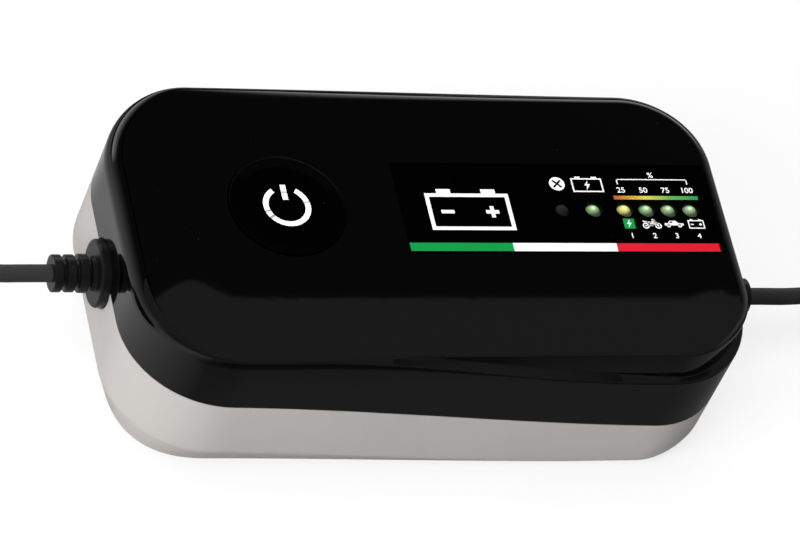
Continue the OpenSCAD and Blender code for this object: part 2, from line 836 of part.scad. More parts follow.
mains_coil_points =
    coil_points(mains_coil_at, mains_coil_radius, mains_coil_turns, mains_coil_layers, -1);
output_coil_points =
    coil_points(output_coil_at, output_coil_radius, output_coil_turns, output_coil_layers, 1);

// Least distance between two stretches of a coil that are not neighbours
function self_gap(points) = min([
    for (i = [0:len(points) - 12])
        for (j = [i + 12:len(points) - 1]) norm(points[i] - points[j])
]) - cord_diameter;
echo(mains_coil_gap = self_gap(mains_coil_points), output_coil_gap = self_gap(output_coil_points));

// Free stretches, from the glands round to the rear of the coils and onto their tops
mains_route = [
    [-mains_gland_end, 0, mains_gland_z], [-117, 0, mains_gland_z], [-127, 0, mains_gland_z],
    [-134.5, 0.9, 28.2], [-141.6, 3.5, 27.1], [-147.9, 7.7, 25.7], [-153, 13.3, 24.3],
    [-158.1, 18.9, 22.9], [-164.4, 23.1, 21.5], [-171.5, 25.7, 20.4], [-179, 26.6, 20.05],
    [-184.7, 26.6, 20.05]
];
output_route = [
    [output_gland_end, 0, output_gland_z], [117, 0, output_gland_z], [127, 0, output_gland_z],
    [136.1, 1.3, 16.4], [144.4, 5, 15.3], [151.4, 11, 13.9], [156.5, 18.6, 12.65],
    [161.6, 26.2, 11.4], [168.6, 32.2, 10], [176.9, 35.9, 8.9], [186, 37.2, 8.45],
    [191.7, 37.2, 8.45]
];

// Stretches from the coils along the ground to the plug and the connector
plug_axis = [-227, 26.6, 6.85];
connector_axis = [226.5, 37.2, 4.6];
mains_tail_route = [
    [-195.3, 26.6, 2.65], [-200.6, 26.6, 2.65], [-206, 26.6, 3.3], [-211, 26.6, 4.75],
    [-216, 26.6, 6.2], [-221.5, 26.6, 6.85], plug_axis
];
output_tail_route = [
    [202.3, 37.2, 2.65], [207.6, 37.2, 2.65], [211.5, 37.2, 3.1], [214.5, 37.2, 3.65],
    [217.5, 37.2, 4.2], [221, 37.2, 4.6], connector_axis
];
coil_sides = 6;
cord_sides = 8;

module cord(points, sides) {
    color(cord_grey) tube(points, cord_diameter, sides);
}

// ---------- Conductors inside the case ----------
conductor_diameter = 2;
conductor_step = 3.2; // distance between the two conductors

// Two insulated conductors from a gland down to the board. way is as for the coils.
module conductors(way, z) {
    start = case_length / 2 - wall - inner_flange_thickness;
    end = main_board_top + 1;
    for (y = [-conductor_step / 2, conductor_step / 2])
        tube([
            [way * start, y, z], [way * (start - 3), y, z], [way * (start - 8), y, z - 1.5],
            [way * (start - 11), y, (z + end) / 2], [way * (start - 14), y, end + 1.4],
            [way * (start - 18), y, end], [way * (start - 20), y, end]
        ], conductor_diameter, cord_sides);
}

// ---------- Mains plug ----------
plug_seat = 6; // length of a pin inside the plug
pin_root_diameter = 3.2; // the part of a pin or contact that is held in the moulding
plug_rear_width = 12;

// Flat plug body with a tapered rear and grip grooves, its cord entry at the origin, along +X
module plug_shape() {
    half = plug_width / 2;
    intersection() {
        translate([0, 0, -plug_thickness / 2]) linear_extrude(plug_thickness) polygon([
            [0, -plug_rear_width / 2], [7, -plug_rear_width / 2 - 0.6], [15, -half + 2.6],
            [22, -half + 0.6], [26, -half], [plug_length - 1, -half], [plug_length, -half + 1],
            [plug_length, half - 1], [plug_length - 1, half], [26, half], [22, half - 0.6],
            [15, half - 2.6], [7, plug_rear_width / 2 + 0.6], [0, plug_rear_width / 2]
        ]);
        translate([0, half + 1, 0]) rotate([90, 0, 0]) linear_extrude(plug_width + 2) polygon([
            [0, -4.4], [9, -5.2], [20, -plug_thickness / 2], [plug_length - 0.6, -plug_thickness / 2],
            [plug_length, -plug_thickness / 2 + 0.6], [plug_length, plug_thickness / 2 - 0.6],
            [plug_length - 0.6, plug_thickness / 2], [20, plug_thickness / 2], [9, 5.2], [0, 4.4]
        ]);
    }
}

module at_plug() {
    translate(plug_axis) mirror([1, 0, 0]) children();
}

module plug_body() {
    color(rubber_grey) at_plug() difference() {
        plug_shape();
        for (y = [-1, 1])
            translate([plug_length - plug_seat, y * plug_pin_spacing / 2, 0]) rotate([0, 90, 0])
                cylinder(d = pin_root_diameter, h = plug_seat + 1, $fn = 32);
        for (x = [12:3:21])
            for (y = [-1, 1])
                translate([x, y * (plug_width / 2), 0])
                    cube([1, 2 * (plug_width / 2 - 9.3), plug_thickness + 1], center = true);
    }
}

// Pin along +X with a thinner root, its shoulder at the origin, and a rounded tip
module pin(diameter, root, length) {
    r = diameter / 2;
    rotate([90, 0, 90]) rotate_extrude($fn = 32) polygon(concat(
        [[0, -root], [pin_root_diameter / 2, -root], [pin_root_diameter / 2, 0], [r, 0]],
        [for (a = [0:30:90]) [r * cos(a), length - r + r * sin(a)]]
    ));
}

module plug_pin(sign) {
    color(steel) at_plug() translate([plug_length, sign * plug_pin_spacing / 2, 0])
        pin(plug_pin_diameter, plug_seat, plug_pin_length);
}

// ---------- Output connector ----------
socket_wall = 0.7;
contact_seat = 6; // length of a contact inside the connector

module at_connector() {
    translate(connector_axis) children();
}

// Flat two-pole body with a shroud round the socket and a bare pin beside it
module connector_body() {
    height = 2 * connector_axis[2];
    width = contact_spacing + height - 1;
    color(part_black) at_connector() difference() {
        union() {
            translate([0, 0, -height / 2]) linear_extrude(height) polygon([
                [0, -4], [5, -4.6], [8, -width / 2], [connector_length, -width / 2],
                [connector_length, width / 2], [8, width / 2], [5, 4.6], [0, 4]
            ]);
            translate([connector_length - e, -contact_spacing / 2, 0]) rotate([0, 90, 0])
                cylinder(d = contact_spacing - 0.4, h = contact_length + e);
        }
        for (y = [-1, 1])
            translate([connector_length - contact_seat, y * contact_spacing / 2, 0]) rotate([0, 90, 0])
                cylinder(d = y < 0 ? contact_diameter + 2 * socket_wall : pin_root_diameter,
                    h = contact_seat + contact_length + 1, $fn = 32);
    }
}

module connector_pin() {
    color(brass) at_connector() translate([connector_length, contact_spacing / 2, 0])
        pin(contact_diameter, contact_seat, contact_length);
}

module connector_socket() {
    color(brass) at_connector()
        translate([connector_length - contact_seat, -contact_spacing / 2, 0]) rotate([0, 90, 0])
        difference() {
            cylinder(d = contact_diameter + 2 * socket_wall,
                h = contact_seat + contact_length - 0.5, $fn = 32);
            translate([0, 0, 3]) cylinder(d = contact_diameter + 0.1, h = 20, $fn = 32);
        }
}

// ---------- Assembly ----------
lower_shell();
upper_cover();
cover_gasket();
label_panel();
mode_button();
switch_plunger();
button_spring();
button_guide();
tact_switch();
led(0);  // led_1
led(1);  // led_2
led(2);  // led_3
led(3);  // led_4
led(4);  // led_5
led(5);  // led_6
display_board();
display_screws();
main_board();
board_link();
transformer_core();
transformer_winding();
choke_core();
choke_winding();
x_capacitor();
line_fuse();
bridge_rectifier();
capacitor(input_capacitor_at, input_capacitor_size);  // input_capacitor
output_capacitor(0);  // output_capacitor_1
output_capacitor(1);  // output_capacitor_2
heatsink(primary_at, primary_length, 180);  // heatsink_primary
power_device(primary_at, 180);  // power_transistor
heatsink(secondary_at, secondary_length, 0);  // heatsink_secondary
power_device(secondary_at, 0);  // rectifier_diode
color(copper) conductors(-1, mains_gland_z);  // mains_conductors
color(copper) conductors(1, output_gland_z);  // output_conductors
mains_gland();
output_gland();
cord(mains_route, cord_sides);  // mains_cord
cord(mains_coil_points, coil_sides);  // mains_coil
cord(mains_tail_route, cord_sides);  // mains_tail
plug_body();
plug_pin(1);  // plug_pin_1
plug_pin(-1);  // plug_pin_2
cord(output_route, cord_sides);  // output_cord
cord(output_coil_points, coil_sides);  // output_coil
cord(output_tail_route, cord_sides);  // output_tail
connector_body();
connector_pin();
connector_socket();
case_screw(0);  // case_screw_1
case_screw(1);  // case_screw_2
case_screw(2);  // case_screw_3
case_screw(3);  // case_screw_4
board_screw(0);  // board_screw_1
board_screw(1);  // board_screw_2
board_screw(2);  // board_screw_3
board_screw(3);  // board_screw_4
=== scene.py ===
import math

import bmesh
import bpy
from mathutils import Matrix, Vector


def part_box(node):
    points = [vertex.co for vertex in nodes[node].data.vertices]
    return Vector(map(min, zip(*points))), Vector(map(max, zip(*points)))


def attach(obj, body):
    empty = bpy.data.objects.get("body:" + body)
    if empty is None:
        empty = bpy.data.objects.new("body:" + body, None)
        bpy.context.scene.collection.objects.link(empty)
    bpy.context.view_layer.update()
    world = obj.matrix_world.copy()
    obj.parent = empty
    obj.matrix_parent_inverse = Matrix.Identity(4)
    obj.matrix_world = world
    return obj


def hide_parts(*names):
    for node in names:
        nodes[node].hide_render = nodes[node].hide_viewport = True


# Lengths are in millimetres until newObject scales a mesh to metres
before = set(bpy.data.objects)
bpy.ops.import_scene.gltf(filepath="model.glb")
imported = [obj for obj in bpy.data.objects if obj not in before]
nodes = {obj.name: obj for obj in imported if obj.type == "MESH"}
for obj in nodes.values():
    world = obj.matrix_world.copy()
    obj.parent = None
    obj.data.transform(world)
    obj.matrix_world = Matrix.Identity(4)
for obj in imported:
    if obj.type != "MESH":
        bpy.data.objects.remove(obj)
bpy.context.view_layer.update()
mm = 0.001
shellBox = [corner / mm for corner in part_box("lower_shell")]
coverBox = [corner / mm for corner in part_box("upper_cover")]
print("frame loaded:", len(nodes), "nodes")


# Camera
cameraView = {
    "place": (-0.521454, -0.827156, 1.180847),  # metres
    "right": (0.9393, -0.1995, 0.2792),
    "up": (-0.00057, 0.8128, 0.5826),
    "lens": 230.58,
}


def addObject(name, data):
    item = bpy.data.objects.new(name, data)
    bpy.context.scene.collection.objects.link(item)
    return item


def makeCamera():
    data = bpy.data.cameras.new("camera")
    data.lens = cameraView["lens"]
    data.clip_start = 0.05
    data.clip_end = 30
    camera = addObject("camera", data)
    right = Vector(cameraView["right"]).normalized()
    back = right.cross(Vector(cameraView["up"])).normalized()
    up = back.cross(right)
    camera.matrix_world = Matrix.Translation(cameraView["place"]) @ Matrix((right, up, back)).transposed().to_4x4()
    bpy.context.scene.camera = camera


makeCamera()
print("camera placed")


# Materials
# Each input is a plain value or the socket that feeds it, whose id_data is the tree
def setInputs(node, inputs):
    for name, value in inputs.items():
        if isinstance(value, bpy.types.NodeSocket):
            value.id_data.links.new(value, node.inputs[name])
        else:
            node.inputs[name].default_value = value


# Adds a shader node and returns its outputs
def addNode(tree, kind, inputs=None, **settings):
    node = tree.nodes.new("ShaderNode" + kind)
    for name, value in settings.items():
        setattr(node, name, value)
    setInputs(node, inputs or {})
    return node.outputs


def newMaterial(name):
    material = bpy.data.materials.new(name)
    material.use_nodes = True
    return material.node_tree, material.node_tree.nodes["Principled BSDF"]


# Object coordinates, measured from a place in millimetres
def objectCoords(tree, place=(0, 0, 0)):
    inputs = {"Vector": addNode(tree, "TexCoord")["Object"], "Location": [value * mm for value in place]}
    return addNode(tree, "Mapping", inputs, vector_type="TEXTURE")["Vector"]


def noiseNode(vector, scale, detail=3, roughness=0.5):
    inputs = {"Vector": vector, "Scale": scale, "Detail": detail, "Roughness": roughness}
    return addNode(vector.id_data, "TexNoise", inputs)["Fac"]


def rangeNode(value, fromMin, fromMax, toMin, toMax):
    inputs = {"Value": value, "From Min": fromMin, "From Max": fromMax, "To Min": toMin, "To Max": toMax}
    return addNode(value.id_data, "MapRange", inputs)["Result"]


def mathNode(operation, *values):
    return addNode(values[0].id_data, "Math", dict(enumerate(values)), operation=operation)["Value"]


def mixColour(factor, first, second):
    return addNode(factor.id_data, "Mix", {0: factor, 6: first, 7: second}, data_type="RGBA")[2]


# Stops is a list of (position, colour) from one end of the ramp to the other
def rampNode(position, stops):
    node = position.id_data.nodes.new("ShaderNodeValToRGB")
    setInputs(node, {"Fac": position})
    elements = node.color_ramp.elements
    for at, colour in stops[1:-1]:
        elements.new(at).color = colour
    for element, stop in ((elements[0], stops[0]), (elements[-1], stops[-1])):
        element.position, element.color = stop
    return node.outputs["Color"]


def bumpNode(height, strength):
    inputs = {"Height": height, "Strength": strength, "Distance": bumpDepth}
    return addNode(height.id_data, "Bump", inputs)["Normal"]


def grey(tone):
    return (tone, tone, tone, 1)


def tinted(colour, factor=1, added=0):
    return tuple(min(1, part * factor + added) for part in colour) + (1,)


# Shader group that takes a vector and the named numbers and gives the named results
def newGroup(name, numbers, results):
    tree = bpy.data.node_groups.new(name, "ShaderNodeTree")
    tree.interface.new_socket(name="Vector", in_out="INPUT", socket_type="NodeSocketVector")
    for label, value in numbers.items():
        tree.interface.new_socket(name=label, in_out="INPUT", socket_type="NodeSocketFloat").default_value = value
    for label in results:
        tree.interface.new_socket(name=label, in_out="OUTPUT", socket_type="NodeSocketFloat")
    return tree.nodes.new("NodeGroupInput").outputs, tree.nodes.new("NodeGroupOutput")


# Fine moulded texture: a height for bump, and a slow tone change over the surface
def makeGrainGroup():
    start, end = newGroup("mouldedGrain", {"Grain Scale": 2200, "Tone Scale": 25}, ("Height", "Tone"))
    fine = noiseNode(start["Vector"], start["Grain Scale"], detail=4, roughness=0.6)
    slow = noiseNode(start["Vector"], start["Tone Scale"])
    setInputs(end, {"Height": fine, "Tone": slow})


# Masks of sparse dust and faint smears
def makeDustGroup():
    start, end = newGroup("dustAndSmears", {"Specks": 0.5}, ("Speck Mask", "Smear Mask"))
    cells = addNode(end.id_data, "TexVoronoi", {"Vector": start["Vector"], "Scale": 420})
    speck = rangeNode(cells["Distance"], 0.05, 0.11, 1, 0)
    patch = rangeNode(noiseNode(start["Vector"], 90, detail=2), 0.58, 0.72, 0, 1)
    specks = mathNode("MULTIPLY", mathNode("MULTIPLY", speck, patch), start["Specks"])
    smears = rangeNode(noiseNode(start["Vector"], 14, detail=5), 0.35, 0.75, 0, 1)
    setInputs(end, {"Speck Mask": specks, "Smear Mask": smears})


# Mask of convex edges, from the shape's own rounding
def makeEdgeGroup():
    start, end = newGroup("edgeWear", {"Amount": 0.6}, ("Mask",))
    edge = rangeNode(addNode(end.id_data, "NewGeometry")["Pointiness"], 0.52, 0.6, 0, 1)
    broken = rangeNode(noiseNode(start["Vector"], 160, detail=4), 0.4, 0.65, 0, 1)
    mask = mathNode("MULTIPLY", mathNode("MULTIPLY", edge, broken), start["Amount"])
    setInputs(end, {"Mask": mask})


makeGrainGroup()
makeDustGroup()
makeEdgeGroup()
bumpDepth = 0.0002  # metres


def useGroup(name, vector, numbers):
    return addNode(vector.id_data, "Group", {"Vector": vector, **numbers}, node_tree=bpy.data.node_groups[name])


surfaceKinds = {
    "gloss": {"ior": 1.5, "specular": 0.5, "grainScale": 140, "toneScale": 30, "bump": 0.006, "tones": (1, 1),
              "wear": 0, "specks": 0.15, "dust": (0.10, 0.10, 0.095, 1), "smears": (0.9, 1.2)},
    "moulded": {"ior": 1.46, "specular": 0.5, "grainScale": 1600, "toneScale": 22, "bump": 0.25, "tones": (0.93, 1.04),
                "wear": 0.06, "specks": 0.3, "dust": (0.30, 0.29, 0.27, 1), "smears": (0.88, 1.12)},
    "ink": {"ior": 1.45, "specular": 0.12, "grainScale": 1800, "toneScale": 90, "bump": 0, "tones": (0.94, 1),
            "wear": 0, "specks": 0.2, "dust": (0.2, 0.2, 0.19, 1), "smears": (0.8, 1.1)},
}


# Plastic or ink with a slow tone change, rubbed edges, dust, smears and grain
def makeSurface(name, kind, colour, roughness, **changes):
    look = {**surfaceKinds[kind], **changes}
    tree, shader = newMaterial(name)
    vector = objectCoords(tree)
    grain = useGroup("mouldedGrain", vector, {"Grain Scale": look["grainScale"], "Tone Scale": look["toneScale"]})
    dust = useGroup("dustAndSmears", vector, {"Specks": look["specks"]})
    darker, paler = look["tones"]
    base = mixColour(grain["Tone"], tinted(colour, darker), tinted(colour, paler))
    if look["wear"]:
        worn = useGroup("edgeWear", vector, {})["Mask"]
        base = mixColour(worn, base, tinted(colour, added=look["wear"]))
    smoother, rougher = look["smears"]
    setInputs(shader, {
        "IOR": look["ior"],
        "Specular IOR Level": look["specular"],
        "Base Color": mixColour(dust["Speck Mask"], base, look["dust"]),
        "Roughness": rangeNode(dust["Smear Mask"], 0, 1, roughness * smoother, roughness * rougher),
    })
    if look["bump"]:
        setInputs(shader, {"Normal": bumpNode(grain["Height"], look["bump"])})


# Metal with fine scratches along one axis and slight tarnish
def makeMetal(name, colour, roughness, stretch=(1, 1, 12)):
    tree, shader = newMaterial(name)
    vector = objectCoords(tree)
    scratch = noiseNode(addNode(tree, "Mapping", {"Vector": vector, "Scale": stretch})["Vector"], 900)
    tarnish = noiseNode(vector, 220, detail=4)
    setInputs(shader, {
        "Metallic": 1,
        "Base Color": mixColour(tarnish, tinted(colour), tinted(colour, 0.75)),
        "Roughness": rangeNode(scratch, 0.2, 0.8, roughness * 0.7, roughness * 1.4),
        "Normal": bumpNode(scratch, 0.08),
    })


makeSurface("coverGloss", "gloss", (0.0012, 0.0012, 0.001236), 0.02)
makeSurface("labelFilm", "gloss", (0.0004, 0.0004, 0.000412), 0.06, specular=0.08)
makeSurface("buttonGloss", "gloss", (0.0004, 0.0004, 0.000412), 0.06, specular=0.06)
makeSurface("shellPlastic", "moulded", (0.53, 0.505, 0.488), 0.42)
makeSurface("glandRubber", "moulded", (0.0055, 0.0055, 0.0057), 0.34, grainScale=900, bump=0.15, wear=0.012,
            specular=0.25)
makeSurface("cordSheath", "moulded", (0.03, 0.03, 0.0295), 0.4, grainScale=700, bump=0.12, wear=0.015, specular=0.12)
makeSurface("plugPlastic", "moulded", (0.009, 0.009, 0.0095), 0.42, grainScale=1300, wear=0.02)
makeSurface("innerPlastic", "moulded", (0.02, 0.02, 0.02), 0.5)
makeSurface("circuitBoard", "moulded", (0.02, 0.13, 0.055), 0.3, grainScale=300, bump=0.1)
makeSurface("ferrite", "moulded", (0.045, 0.045, 0.05), 0.6, grainScale=900)
makeSurface("capacitorSleeve", "moulded", (0.02, 0.03, 0.10), 0.3, bump=0.05)
makeSurface("capacitorBox", "moulded", (0.60, 0.40, 0.04), 0.35, bump=0.08)
makeSurface("whiteInk", "ink", (0.97, 0.97, 0.965), 0.45)
makeSurface("greenInk", "ink", (0.003, 0.29, 0.057), 0.45)
makeSurface("redInk", "ink", (0.67, 0.009, 0.028), 0.45)
makeMetal("platedSteel", (0.62, 0.62, 0.63), 0.32)
makeMetal("nickelPlate", (0.76, 0.74, 0.70), 0.2, stretch=(12, 1, 1))
makeMetal("contactBrass", (0.80, 0.60, 0.26), 0.26, stretch=(12, 1, 1))
makeMetal("heatsinkAluminium", (0.80, 0.81, 0.82), 0.38)
makeMetal("windingCopper", (0.72, 0.33, 0.14), 0.3)
print("materials made")


# Meshes
def meshObject(bm, name):
    mesh = bpy.data.meshes.new(name)
    bm.to_mesh(mesh)
    bm.free()
    return addObject(name, mesh)


# Makes an object from a mesh built in millimetres
def newObject(bm, name):
    bmesh.ops.remove_doubles(bm, verts=bm.verts, dist=0.0005)
    bmesh.ops.recalc_face_normals(bm, faces=bm.faces)
    bmesh.ops.scale(bm, vec=(mm, mm, mm), verts=bm.verts)
    return meshObject(bm, name)


def finishPiece(piece, material, replaced=(), sharpAngle=38, weighted=True, body="charger"):
    mesh = piece.data
    for face in mesh.polygons:
        face.use_smooth = True
    mesh.set_sharp_from_angle(angle=math.radians(sharpAngle))
    mesh.materials.clear()
    mesh.materials.append(bpy.data.materials[material])
    if weighted:
        normals = piece.modifiers.new("weightedNormal", "WEIGHTED_NORMAL")
        normals.keep_sharp = True
        normals.weight = 80
    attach(piece, body)
    if replaced:
        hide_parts(*replaced)
    return piece


def addRing(bm, points):
    verts = [bm.verts.new(point) for point in points]
    return [bm.edges.new((verts[i - 1], verts[i])) for i in range(len(verts))]


# Joins rings and closes both ends
def loftRings(bm, rings):
    for lower, upper in zip(rings, rings[1:]):
        bmesh.ops.bridge_loops(bm, edges=lower + upper)
    for ring in (rings[0], rings[-1]):
        bmesh.ops.edgeloop_fill(bm, edges=ring)


# Spins a list of (radius, distance along the axis) once round the axis, which is Z or along X
def newSpun(name, profile, place, axis=(0, 0, 1), steps=48, bm=None):
    bm = bm or bmesh.new()
    across = Vector((1, 0, 0) if axis[2] else (0, 0, 1))
    verts = [bm.verts.new(Vector(place) + across * radius + Vector(axis) * along) for radius, along in profile]
    edges = [bm.edges.new(pair) for pair in zip(verts, verts[1:])]
    bmesh.ops.spin(bm, geom=verts + edges, cent=place, axis=axis, dvec=(0, 0, 0),
                   angle=2 * math.pi, steps=steps, use_merge=True, use_duplicate=False)
    return newObject(bm, name)


# Profile of a plain rod
def rod(radius, low, high):
    return [(0, low), (radius, low), (radius, high), (0, high)]


# Points of an arc round (cx, cy), angles in degrees
def arcPoints(cx, cy, radius, start, end, steps):
    angles = [math.radians(start + (end - start) * i / steps) for i in range(steps + 1)]
    return [(cx + radius * math.cos(a), cy + radius * math.sin(a)) for a in angles]


# Outline and curves of the case
caseShape = {
    "cornerRadii": {(1, -1): 26, (1, 1): 26, (-1, 1): 28, (-1, -1): 30},
    "cornerSteps": 22,
    "longSteps": 56,
    "shortSteps": 14,
    "wall": 2.2,
    "floor": 2.5,
    "partingLeft": 32,
    "partingDrop": 12,
    "lipHeight": 1,
    "creaseLeft": 9.3,
    "creaseDrop": 7.1,
    "taperAngle": 18.3,
    "baseEdge": 0.9,
    "frontRimDrop": 10.9,
    "rearRimDrop": 2.2,
    "ledgeShift": 17,
    "edgeRound": 0.3,
    # left, right, front, rear
    "footInset": (4.4, 0.6, 2.1, 1.2),
    "padWall": (0.2, 0.2, 0.3, 0.1),
    "filletWidth": (0.4, 3.6, 0.7, 3.1),
    "filletHeight": (0.4, 3, 0.5, 2.2),
}
halfLength = shellBox[1].x
halfWidth = shellBox[1].y
topHeight = coverBox[1].z
glandHeights = {"mains": 28.6, "output": 16.85}
buttonPlace = (-44.2, 6)
lampRow = 5.6
lampPlaces = [41.6, 51.5, 61.4, 68.45, 75.5, 82.55]
labelArea = {"x": (-9.5, 90.4), "y": (-10.5, 22.2), "thickness": 0.3, "corner": 0.8}


# List of (x, y, outward x, outward y), anticlockwise
def makeOutline():
    corners = []
    for sx, sy, start in ((1, -1, -90), (1, 1, 0), (-1, 1, 90), (-1, -1, 180)):
        radius = caseShape["cornerRadii"][(sx, sy)]
        cx, cy = halfLength - radius, halfWidth - radius
        normals = arcPoints(0, 0, 1, start, start + 90, caseShape["cornerSteps"])
        corners.append([(sx * cx + radius * c, sy * cy + radius * s, c, s) for c, s in normals])
    points = []
    for index, corner in enumerate(corners):
        points += corner
        first, last = corner[-1], corners[(index + 1) % 4][0]
        steps = caseShape["longSteps"] if index % 2 else caseShape["shortSteps"]
        for i in range(1, steps):
            points.append(tuple(a + (b - a) * i / steps for a, b in zip(first, last)))
    return points


def smooth(value):
    value = min(max(value, 0), 1)
    return value * value * (3 - 2 * value)


def ramp(x, start, end):
    return smooth((x - start) / (end - start))


def blendSides(p, left, right, front, rear):
    return p[2] ** 2 * (left if p[2] < 0 else right) + p[3] ** 2 * (front if p[3] < 0 else rear)


# 0 on the straight sides, 1 in the middle of a corner; sx and sy keep to one corner
def cornerShare(p, sx=0, sy=0):
    return (2 * p[2] * p[3]) ** 2 if sx * p[2] >= 0 and sy * p[3] >= 0 else 0


def rimDrop(x, y):
    front = caseShape["frontRimDrop"] * ramp(x, -46, 62)
    rear = caseShape["rearRimDrop"] * ramp(x, -85, 85)
    return rear + (front - rear) * ramp(-y, -45, 45)


# A quarter ellipse from (inset, z), inwards and up
def quarter(inset, z, width, height, steps):
    angles = [math.pi / 2 * i / steps for i in range(1, steps + 1)]
    return [(inset + width * (1 - math.cos(a)), z + height * math.sin(a)) for a in angles]


# Crease, parting line, rim and ledge foot at an outline point
def heights(p):
    parting = caseShape["partingLeft"] - caseShape["partingDrop"] * ramp(p[0], -80, 85)
    crease = caseShape["creaseLeft"] - caseShape["creaseDrop"] * ramp(p[0], -80, 50)
    crease += 3.5 * cornerShare(p, 1, -1)
    rim = topHeight - rimDrop(p[0], p[1])
    foot = topHeight - rimDrop(p[0] - caseShape["ledgeShift"] * max(-p[3], 0), p[1])
    return crease, parting, rim, foot


# (inset, height) pairs from the inner ceiling round the outside to the flat top
def coverSection(p):
    parting, rim, foot = heights(p)[1:]
    wall, lip, edge = caseShape["wall"], caseShape["lipHeight"], caseShape["edgeRound"]
    ceiling = topHeight - wall
    frontFade = 1 - 0.6 * ramp(p[0], -46, 0)
    frontRight, rearLeft = cornerShare(p, 1, -1), cornerShare(p, -1, 1)
    shoulderWidth = blendSides(p, 4.2, 0.4, frontFade, 0.8) + 0.8 * frontRight + 1.2 * rearLeft
    shoulderHeight = blendSides(p, 5, 0.6, 3 - 2.4 * ramp(p[0], -46, 20), 1)
    footInset = blendSides(p, *caseShape["footInset"]) + 1.5 * frontRight + 1.1 * rearLeft
    padWall = blendSides(p, *caseShape["padWall"])
    filletWidth = blendSides(p, *caseShape["filletWidth"]) + 0.8 * frontRight
    filletHeight = min(blendSides(p, *caseShape["filletHeight"]) + 1.2 * frontRight, topHeight - foot)
    wallHeight = topHeight - filletHeight - foot
    section = [
        (footInset + padWall + filletWidth + 2.2, ceiling),
        (footInset + 2.6, min(ceiling, foot - 1.8)),
        (wall, rim - shoulderHeight - 1.6),
        (wall, parting - lip),
        (1, parting - lip),
        (1, parting),
        (edge, parting),
        (edge * 0.3, parting + edge * 0.3),
        (0, parting + edge),
        (0, parting + 2),
        (0, rim - shoulderHeight - 1),
        (0, rim - shoulderHeight),
    ]
    section += quarter(0, rim - shoulderHeight, shoulderWidth, shoulderHeight, 7)
    section += [
        (0.88 * footInset, foot - 0.04 * (foot - rim)),
        (footInset, foot + min(0.12, 0.3 * wallHeight)),
        (footInset + padWall * 0.5, foot + 0.5 * wallHeight),
        (footInset + padWall, topHeight - filletHeight),
    ]
    section += quarter(footInset + padWall, topHeight - filletHeight, filletWidth, filletHeight, 7)
    return section


# (inset, height) pairs from the base round the outside to the inner floor
def shellSection(p):
    crease, parting = heights(p)[:2]
    wall, lip, edge = caseShape["wall"], caseShape["lipHeight"], caseShape["edgeRound"]
    baseInset = caseShape["baseEdge"] + crease * math.tan(math.radians(caseShape["taperAngle"]))
    baseInset -= 1.5 * cornerShare(p) if p[2] < 0 else 0.5 * cornerShare(p, 1, -1)
    slope = baseInset / crease
    soft = min(1.2, crease * 0.45)
    step = parting - lip - 0.8
    return [
        (baseInset + 0.6, 0),
        (baseInset + 0.15, 0.12),
        (baseInset - 0.5 * slope - 0.02, 0.55),
        (soft * slope, crease - soft),
        (soft * slope * 0.42, crease - soft * 0.4),
        (soft * slope * 0.08, crease + soft * 0.3),
        (0, crease + soft),
        (0, crease + 2.2 * soft),
        (0, parting - 2),
        (0, parting - 0.05 - edge),
        (edge * 0.3, parting - 0.05 - edge * 0.3),
        (edge, parting - 0.05),
        (0.95, parting - 0.05),
        (0.95, step),
        (wall, step),
        (wall, crease + 1.2),
        (baseInset + wall + 0.2, caseShape["floor"]),
    ]


def newLoft(name, section):
    bm = bmesh.new()
    outline = makeOutline()
    sections = [section(p) for p in outline]
    rings = []
    for level in range(len(sections[0])):
        points = []
        for p, pairs in zip(outline, sections):
            inset, z = pairs[level]
            points.append((p[0] - inset * p[2], p[1] - inset * p[3], z))
        rings.append(addRing(bm, points))
    loftRings(bm, rings)
    return newObject(bm, name)


def evaluatedMesh(item):
    bpy.context.view_layer.update()
    return bpy.data.meshes.new_from_object(item.evaluated_get(bpy.context.evaluated_depsgraph_get()))


# Applies one exact boolean for each cutter, then drops the cutters
def cutWith(piece, cutters, operation="DIFFERENCE"):
    for cutter in cutters:
        step = piece.modifiers.new("cut", "BOOLEAN")
        step.operation = operation
        step.solver = "EXACT"
        step.object = cutter
        mesh = evaluatedMesh(piece)
        piece.modifiers.clear()
        piece.data = mesh
        bpy.data.objects.remove(cutter)


# Neck hole and flange seat of both glands
def glandCutters():
    seat = halfLength - 1.2
    profile = [(0, halfLength - 6), (6.55, halfLength - 6), (6.55, seat), (10.2, seat), (10.2, halfLength - 0.25),
               (10.5, halfLength + 0.05), (10.5, halfLength + 4), (0, halfLength + 4)]
    return [newSpun("cutter", profile, (0, 0, glandHeights[end]), (side, 0, 0), 96)
            for end, side in (("mains", -1), ("output", 1))]


def lampCutters(radius, depth):
    profile = rod(radius, topHeight - depth, topHeight + 2)
    return [newSpun("cutter", profile, (x, lampRow, 0)) for x in lampPlaces]


def makeCover():
    cover = newLoft("coverShell", coverSection)
    top = topHeight
    buttonHole = [(0, top - 4), (17.65, top - 4), (17.65, top - 0.3), (18.0, top + 0.02), (18.0, top + 2), (0, top + 2)]
    cutters = glandCutters() + [newSpun("cutter", buttonHole, (*buttonPlace, 0), steps=128)]
    cutters.append(labelPlate("cutter", top + 1, 0))
    cutWith(cover, cutters + lampCutters(2.7, 4))
    finishPiece(cover, "coverGloss", ("upper_cover",), sharpAngle=20)


# Plate with the label's outline, its corners slightly rounded
def labelPlate(name, high, margin):
    x0, x1 = labelArea["x"][0] + margin, labelArea["x"][1] - margin
    y0, y1 = labelArea["y"][0] + margin, labelArea["y"][1] - margin
    r = labelArea["corner"]
    points = []
    for x, y, start in ((x1 - r, y1 - r, 0), (x0 + r, y1 - r, 90), (x0 + r, y0 + r, 180), (x1 - r, y0 + r, 270)):
        points += arcPoints(x, y, r, start, start + 90, 5)
    bm = bmesh.new()
    addPlate(bm, points, topHeight - labelArea["thickness"], high)
    return newObject(bm, name)


